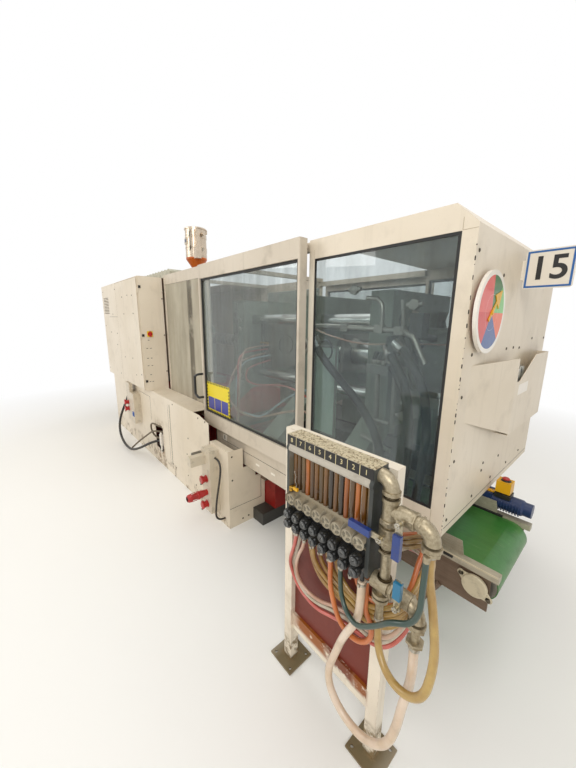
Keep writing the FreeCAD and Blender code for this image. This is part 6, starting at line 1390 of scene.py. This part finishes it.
def fit_cabinet():
    """Switch plate, hinges, small marks and the shelf line of the switchgear cabinet."""
    marks = (
        (-951, 1484), (-973, 1388), (-931, 1388), (-931, 1272), (-974, 1272), (-974, 1184), (-931, 1184),
        (-953, 1075), (-967, 991), (-935, 991),
    )
    skins = ["label_yellow", "yellow_plastic", "print_black", "screw_steel", "pale_plastic"]
    build("cabinet_fittings", skins, [
        (add_slab, rect(-962, 1522, -898, 1588), -750.4, -748.6, "x", 0),
        (add_turned, (-748.8, -930, 1555), ALONG, [(0, 29), (1.4, 29), (2, 28), (2, 0)], 1, 28),
        *[(add_block, (-751, -1018, z - 14), (-743, -994, z + 14), 2) for z in (2082, 1540, 999)],
        *[(add_block, (-750.5, y - 9, z - 3), (-748.8, y + 9, z + 3), 2) for y, z in marks],
        *[(add_screw, (-750, -762, z), ALONG, 8, 3) for z in (1962, 1538, 1100)],
        (add_block, (-1555, -1052, 752), (-1400, -1010, 880), 4),
    ], bevel=0.5)
    lines = ((-1698, 893, -1695, 2186), (-750, 893, -747, 2186), (-1698, 2184, -747, 2187))
    rows = [(add_slab, rect(*line), -1038.8, -1037.5, "y") for line in lines]
    build("door_lines", ["faint_seam"], rows, "door")


def fit_rail():
    """White slotted plate, hole and pale slots on the gate rail, and the white box at the cable hole."""
    build("rail_fittings", ["white_plate", "shadow_gap", "old_steel"], [
        (add_block, (672, -802.5, 652), (734, -799, 708), 0),
        (add_block, (696, -803.2, 664), (708, -801, 698), 1),
        (add_turned, (904, -799.5, 600), FRONT, [(0, 9), (1, 9), (1, 0)], 1, 18),
        *[(add_block, (x - 24, -801.4, 588), (x + 24, -799, 604), 0) for x in (1206, 1402)],
        (add_block, (-528, -985, 260), (-478, -955, 396), 0),
        (add_turned, (-503, -970, 396), UP, [(0, 15), (12, 15), (14, 12), (26, 12)], 0, 16),
        (add_turned, (-503, -970, 260), DOWN, [(0, 15), (12, 15), (14, 12), (90, 12)], 0, 16),
        (add_block, (-556, -980, 186), (-462, -958, 204), 2),
    ], bevel=0.8)


cap_sockets()
fit_cabinet()
fit_rail()


# ---------------------------------------------------------------- conveyor and loader


def fit_conveyor():
    """Bearing cap with its two ears and bolts, wedge and edge strips."""
    rows = [(add_turned, (2742, -672, 536), FRONT, [(0, 54), (11, 54), (14, 51), (15, 44), (14, 40), (14, 0)], 0, 36)]
    across = Vector((0.47, 0.88))
    for x, z, side in ((2680, 569, -1), (2804, 503, 1)):
        middle = Vector((2742, 536))
        ear = middle + Vector((62, -33)) * side
        outline = [middle - across * 46, middle + across * 46, ear + across * 14, ear - across * 14]
        rows += [
            (add_turned, (x, -672, z), FRONT, [(0, 15), (7, 15), (8, 14), (8, 0)], 0, 20),
            (add_hexagon, (x, -679, z), FRONT, 17, 7, 1),
            (add_slab, outline, -680, -672, "y", 0),
        ]
    build("bearing_cap", ["cap_beige", "screw_steel", "print_black"], rows + [
        (add_block, (2598, -690, 622), (2640, -672, 634), 2),
        (add_block, (2560, -684, 632), (2824, -680, 640), 0),
        (add_block, (2100, -135, 616), (2700, -124, 632), 2),
    ], bevel=1.2)


def fit_motor():
    """Base of the stop box, its collar, the motor's glands, fins and terminal box."""
    build("motor_fittings", ["print_black", "clip_steel", "motor_blue"], [
        (add_block, (2640, -122, 728), (2718, -40, 752), 0),
        (add_turned, (2679, -81, 826), UP, [(0, 26), (2, 26), (4, 23), (6, 22)], 0, 24),
        *[(add_turned, (x, -122, 690), FRONT, [(-8, 6), (0, 6), (2, 5), (2, 0)], 1, 12) for x in (2560, 2580, 2600)],
        *[(add_turned, (2648 + 14 * i, -72, 684), ALONG, [(0, 49), (4, 49)], 2, 28) for i in range(9)],
        (add_block, (2660, -104, 724), (2716, -44, 740), 2),
    ], bevel=0.8)


def fit_loader():
    """Clamping bands, latches, cable and control box of the vacuum loader."""
    middle, drum, latch_reach = -1380, 145, 149
    band = [(0, drum), (0.6, 147.5), (8, 147.5), (8.6, drum)]
    rows = [(add_turned, (middle, 0, z), UP, band, 0, 48) for z in (2612, 2692, 2880, 2962)]
    for turn in (-1.1, 0.2, 1.4, 3.3):
        x, y = middle + latch_reach * math.cos(turn), latch_reach * math.sin(turn)
        spin = Matrix.Rotation(turn, 3, "Z")
        rows += [(add_block, (x - 5, y - 9, z - 26), (x + 5, y + 9, z + 26), 1, spin) for z in (2700, 2888)]
    cable = [(-1300, -112, 2960), (-1262, -140, 2900), (-1254, -146, 2820), (-1272, -140, 2740), (-1310, -122, 2680)]
    skins = ["loader_steel", "clip_steel", "cable_black", "pale_plastic", "panel_blue_grey"]
    build("loader_fittings", skins, rows + [
        (add_run, cable, 6, 2, 8),
        (add_block, (-1412, -156, 2760), (-1350, -140, 2838), 3),
        (add_slab, rect(-1404, 2786, -1358, 2828), -157, -155.5, "y", 4),
    ], bevel=0.8)


def crumple(number, chance):
    """One crumpled sheet of seven rows of five points, as a row for build."""
    points = []
    for row in range(7):
        for column in range(5):
            points.append((
                2612 + 6 * number % 30 + chance.uniform(-4, 4),
                -30 + number * 26 + column * 16 + chance.uniform(-3, 3),
                1370 + row * 18 + chance.uniform(-4, 4),
            ))
    corners = [row * 5 + column for row in range(6) for column in range(4)]
    return add_faces, points, [(k, k + 1, k + 6, k + 5) for k in corners]


def fill_pocket():
    """Crumpled sheets standing in the pocket's notch."""
    chance = random.Random(4)
    build("pocket_papers", ["crumpled_paper"], [crumple(number, chance) for number in range(6)], smooth=180)


fit_conveyor()
fit_motor()
fit_loader()
fill_pocket()


# ---------------------------------------------------------------- floor and light


def make_floor_finish():
    """Pale floor that keeps the shadow near the machine and fades to plain white far away."""
    skin, tree, shader = start_finish("studio_floor", Roughness=0.7)
    place = own_place(tree)
    body = blend(tree, cloud(tree, place, 0.7, 3), tone(250, 250, 248), tone(247, 247, 245))
    tree.links.new(body, shader.inputs["Base Color"])
    reach = put(tree, "ShaderNodeVectorMath", {0: place}, operation="LENGTH").outputs["Value"]
    white = put(tree, "ShaderNodeEmission", {"Color": (1, 1, 1, 1), "Strength": 1.0})
    share = calc(tree, "MULTIPLY", span(tree, reach, 3.4, 6.5), seen_rays(tree))
    split_surface(tree, share, shader.outputs[0], white.outputs[0])
    return skin


def lay_floor():
    """Pale studio floor."""
    mesh = bpy.data.meshes.new("floor")
    half = 60
    mesh.from_pydata([(a, b, 0) for a, b in rect(-half, -half, half, half)], [], [(0, 1, 2, 3)])
    mesh.materials.append(make_floor_finish())
    floor = bpy.data.objects.new("floor", mesh)
    bpy.context.scene.collection.objects.link(floor)


def hang_lamp(name, place, target, width, height, power, colour):
    """One soft box aimed at a point."""
    data = bpy.data.lights.new(name, "AREA")
    data.shape = "RECTANGLE"
    data.size, data.size_y = width, height
    data.energy = power
    data.color = colour
    lamp = bpy.data.objects.new(name, data)
    lamp.location = place
    lamp.rotation_euler = (Vector(target) - Vector(place)).to_track_quat("-Z", "Y").to_euler()
    bpy.context.scene.collection.objects.link(lamp)


def light_room():
    """Even pale room, white where it is seen, and three soft boxes."""
    world = bpy.data.worlds.new("pale_room")
    bpy.context.scene.world = world
    world.use_nodes = True
    tree = world.node_tree
    lit = feed(tree, tree.nodes["Background"], {"Color": tone(255, 250, 242), "Strength": 0.5})
    seen = put(tree, "ShaderNodeBackground", {"Color": (1, 1, 1, 1), "Strength": 1.0})
    split_surface(tree, seen_rays(tree), lit.outputs[0], seen.outputs[0], "World Output")
    hang_lamp("soft_box_front", (5.5, -6.0, 5.5), (1.2, -0.9, 1.0), 5.0, 3.5, 250, (1.0, 0.985, 0.955))
    hang_lamp("soft_box_left", (-4.5, -6.5, 5.0), (-1.0, -0.9, 1.0), 4.5, 3.5, 145, (1.0, 0.98, 0.95))
    hang_lamp("soft_box_top", (1.0, 1.0, 7.5), (0.5, 0.0, 1.0), 7.0, 5.0, 200, (1.0, 0.99, 0.97))
    bpy.context.scene.view_settings.view_transform = "Standard"


lay_floor()
light_room()
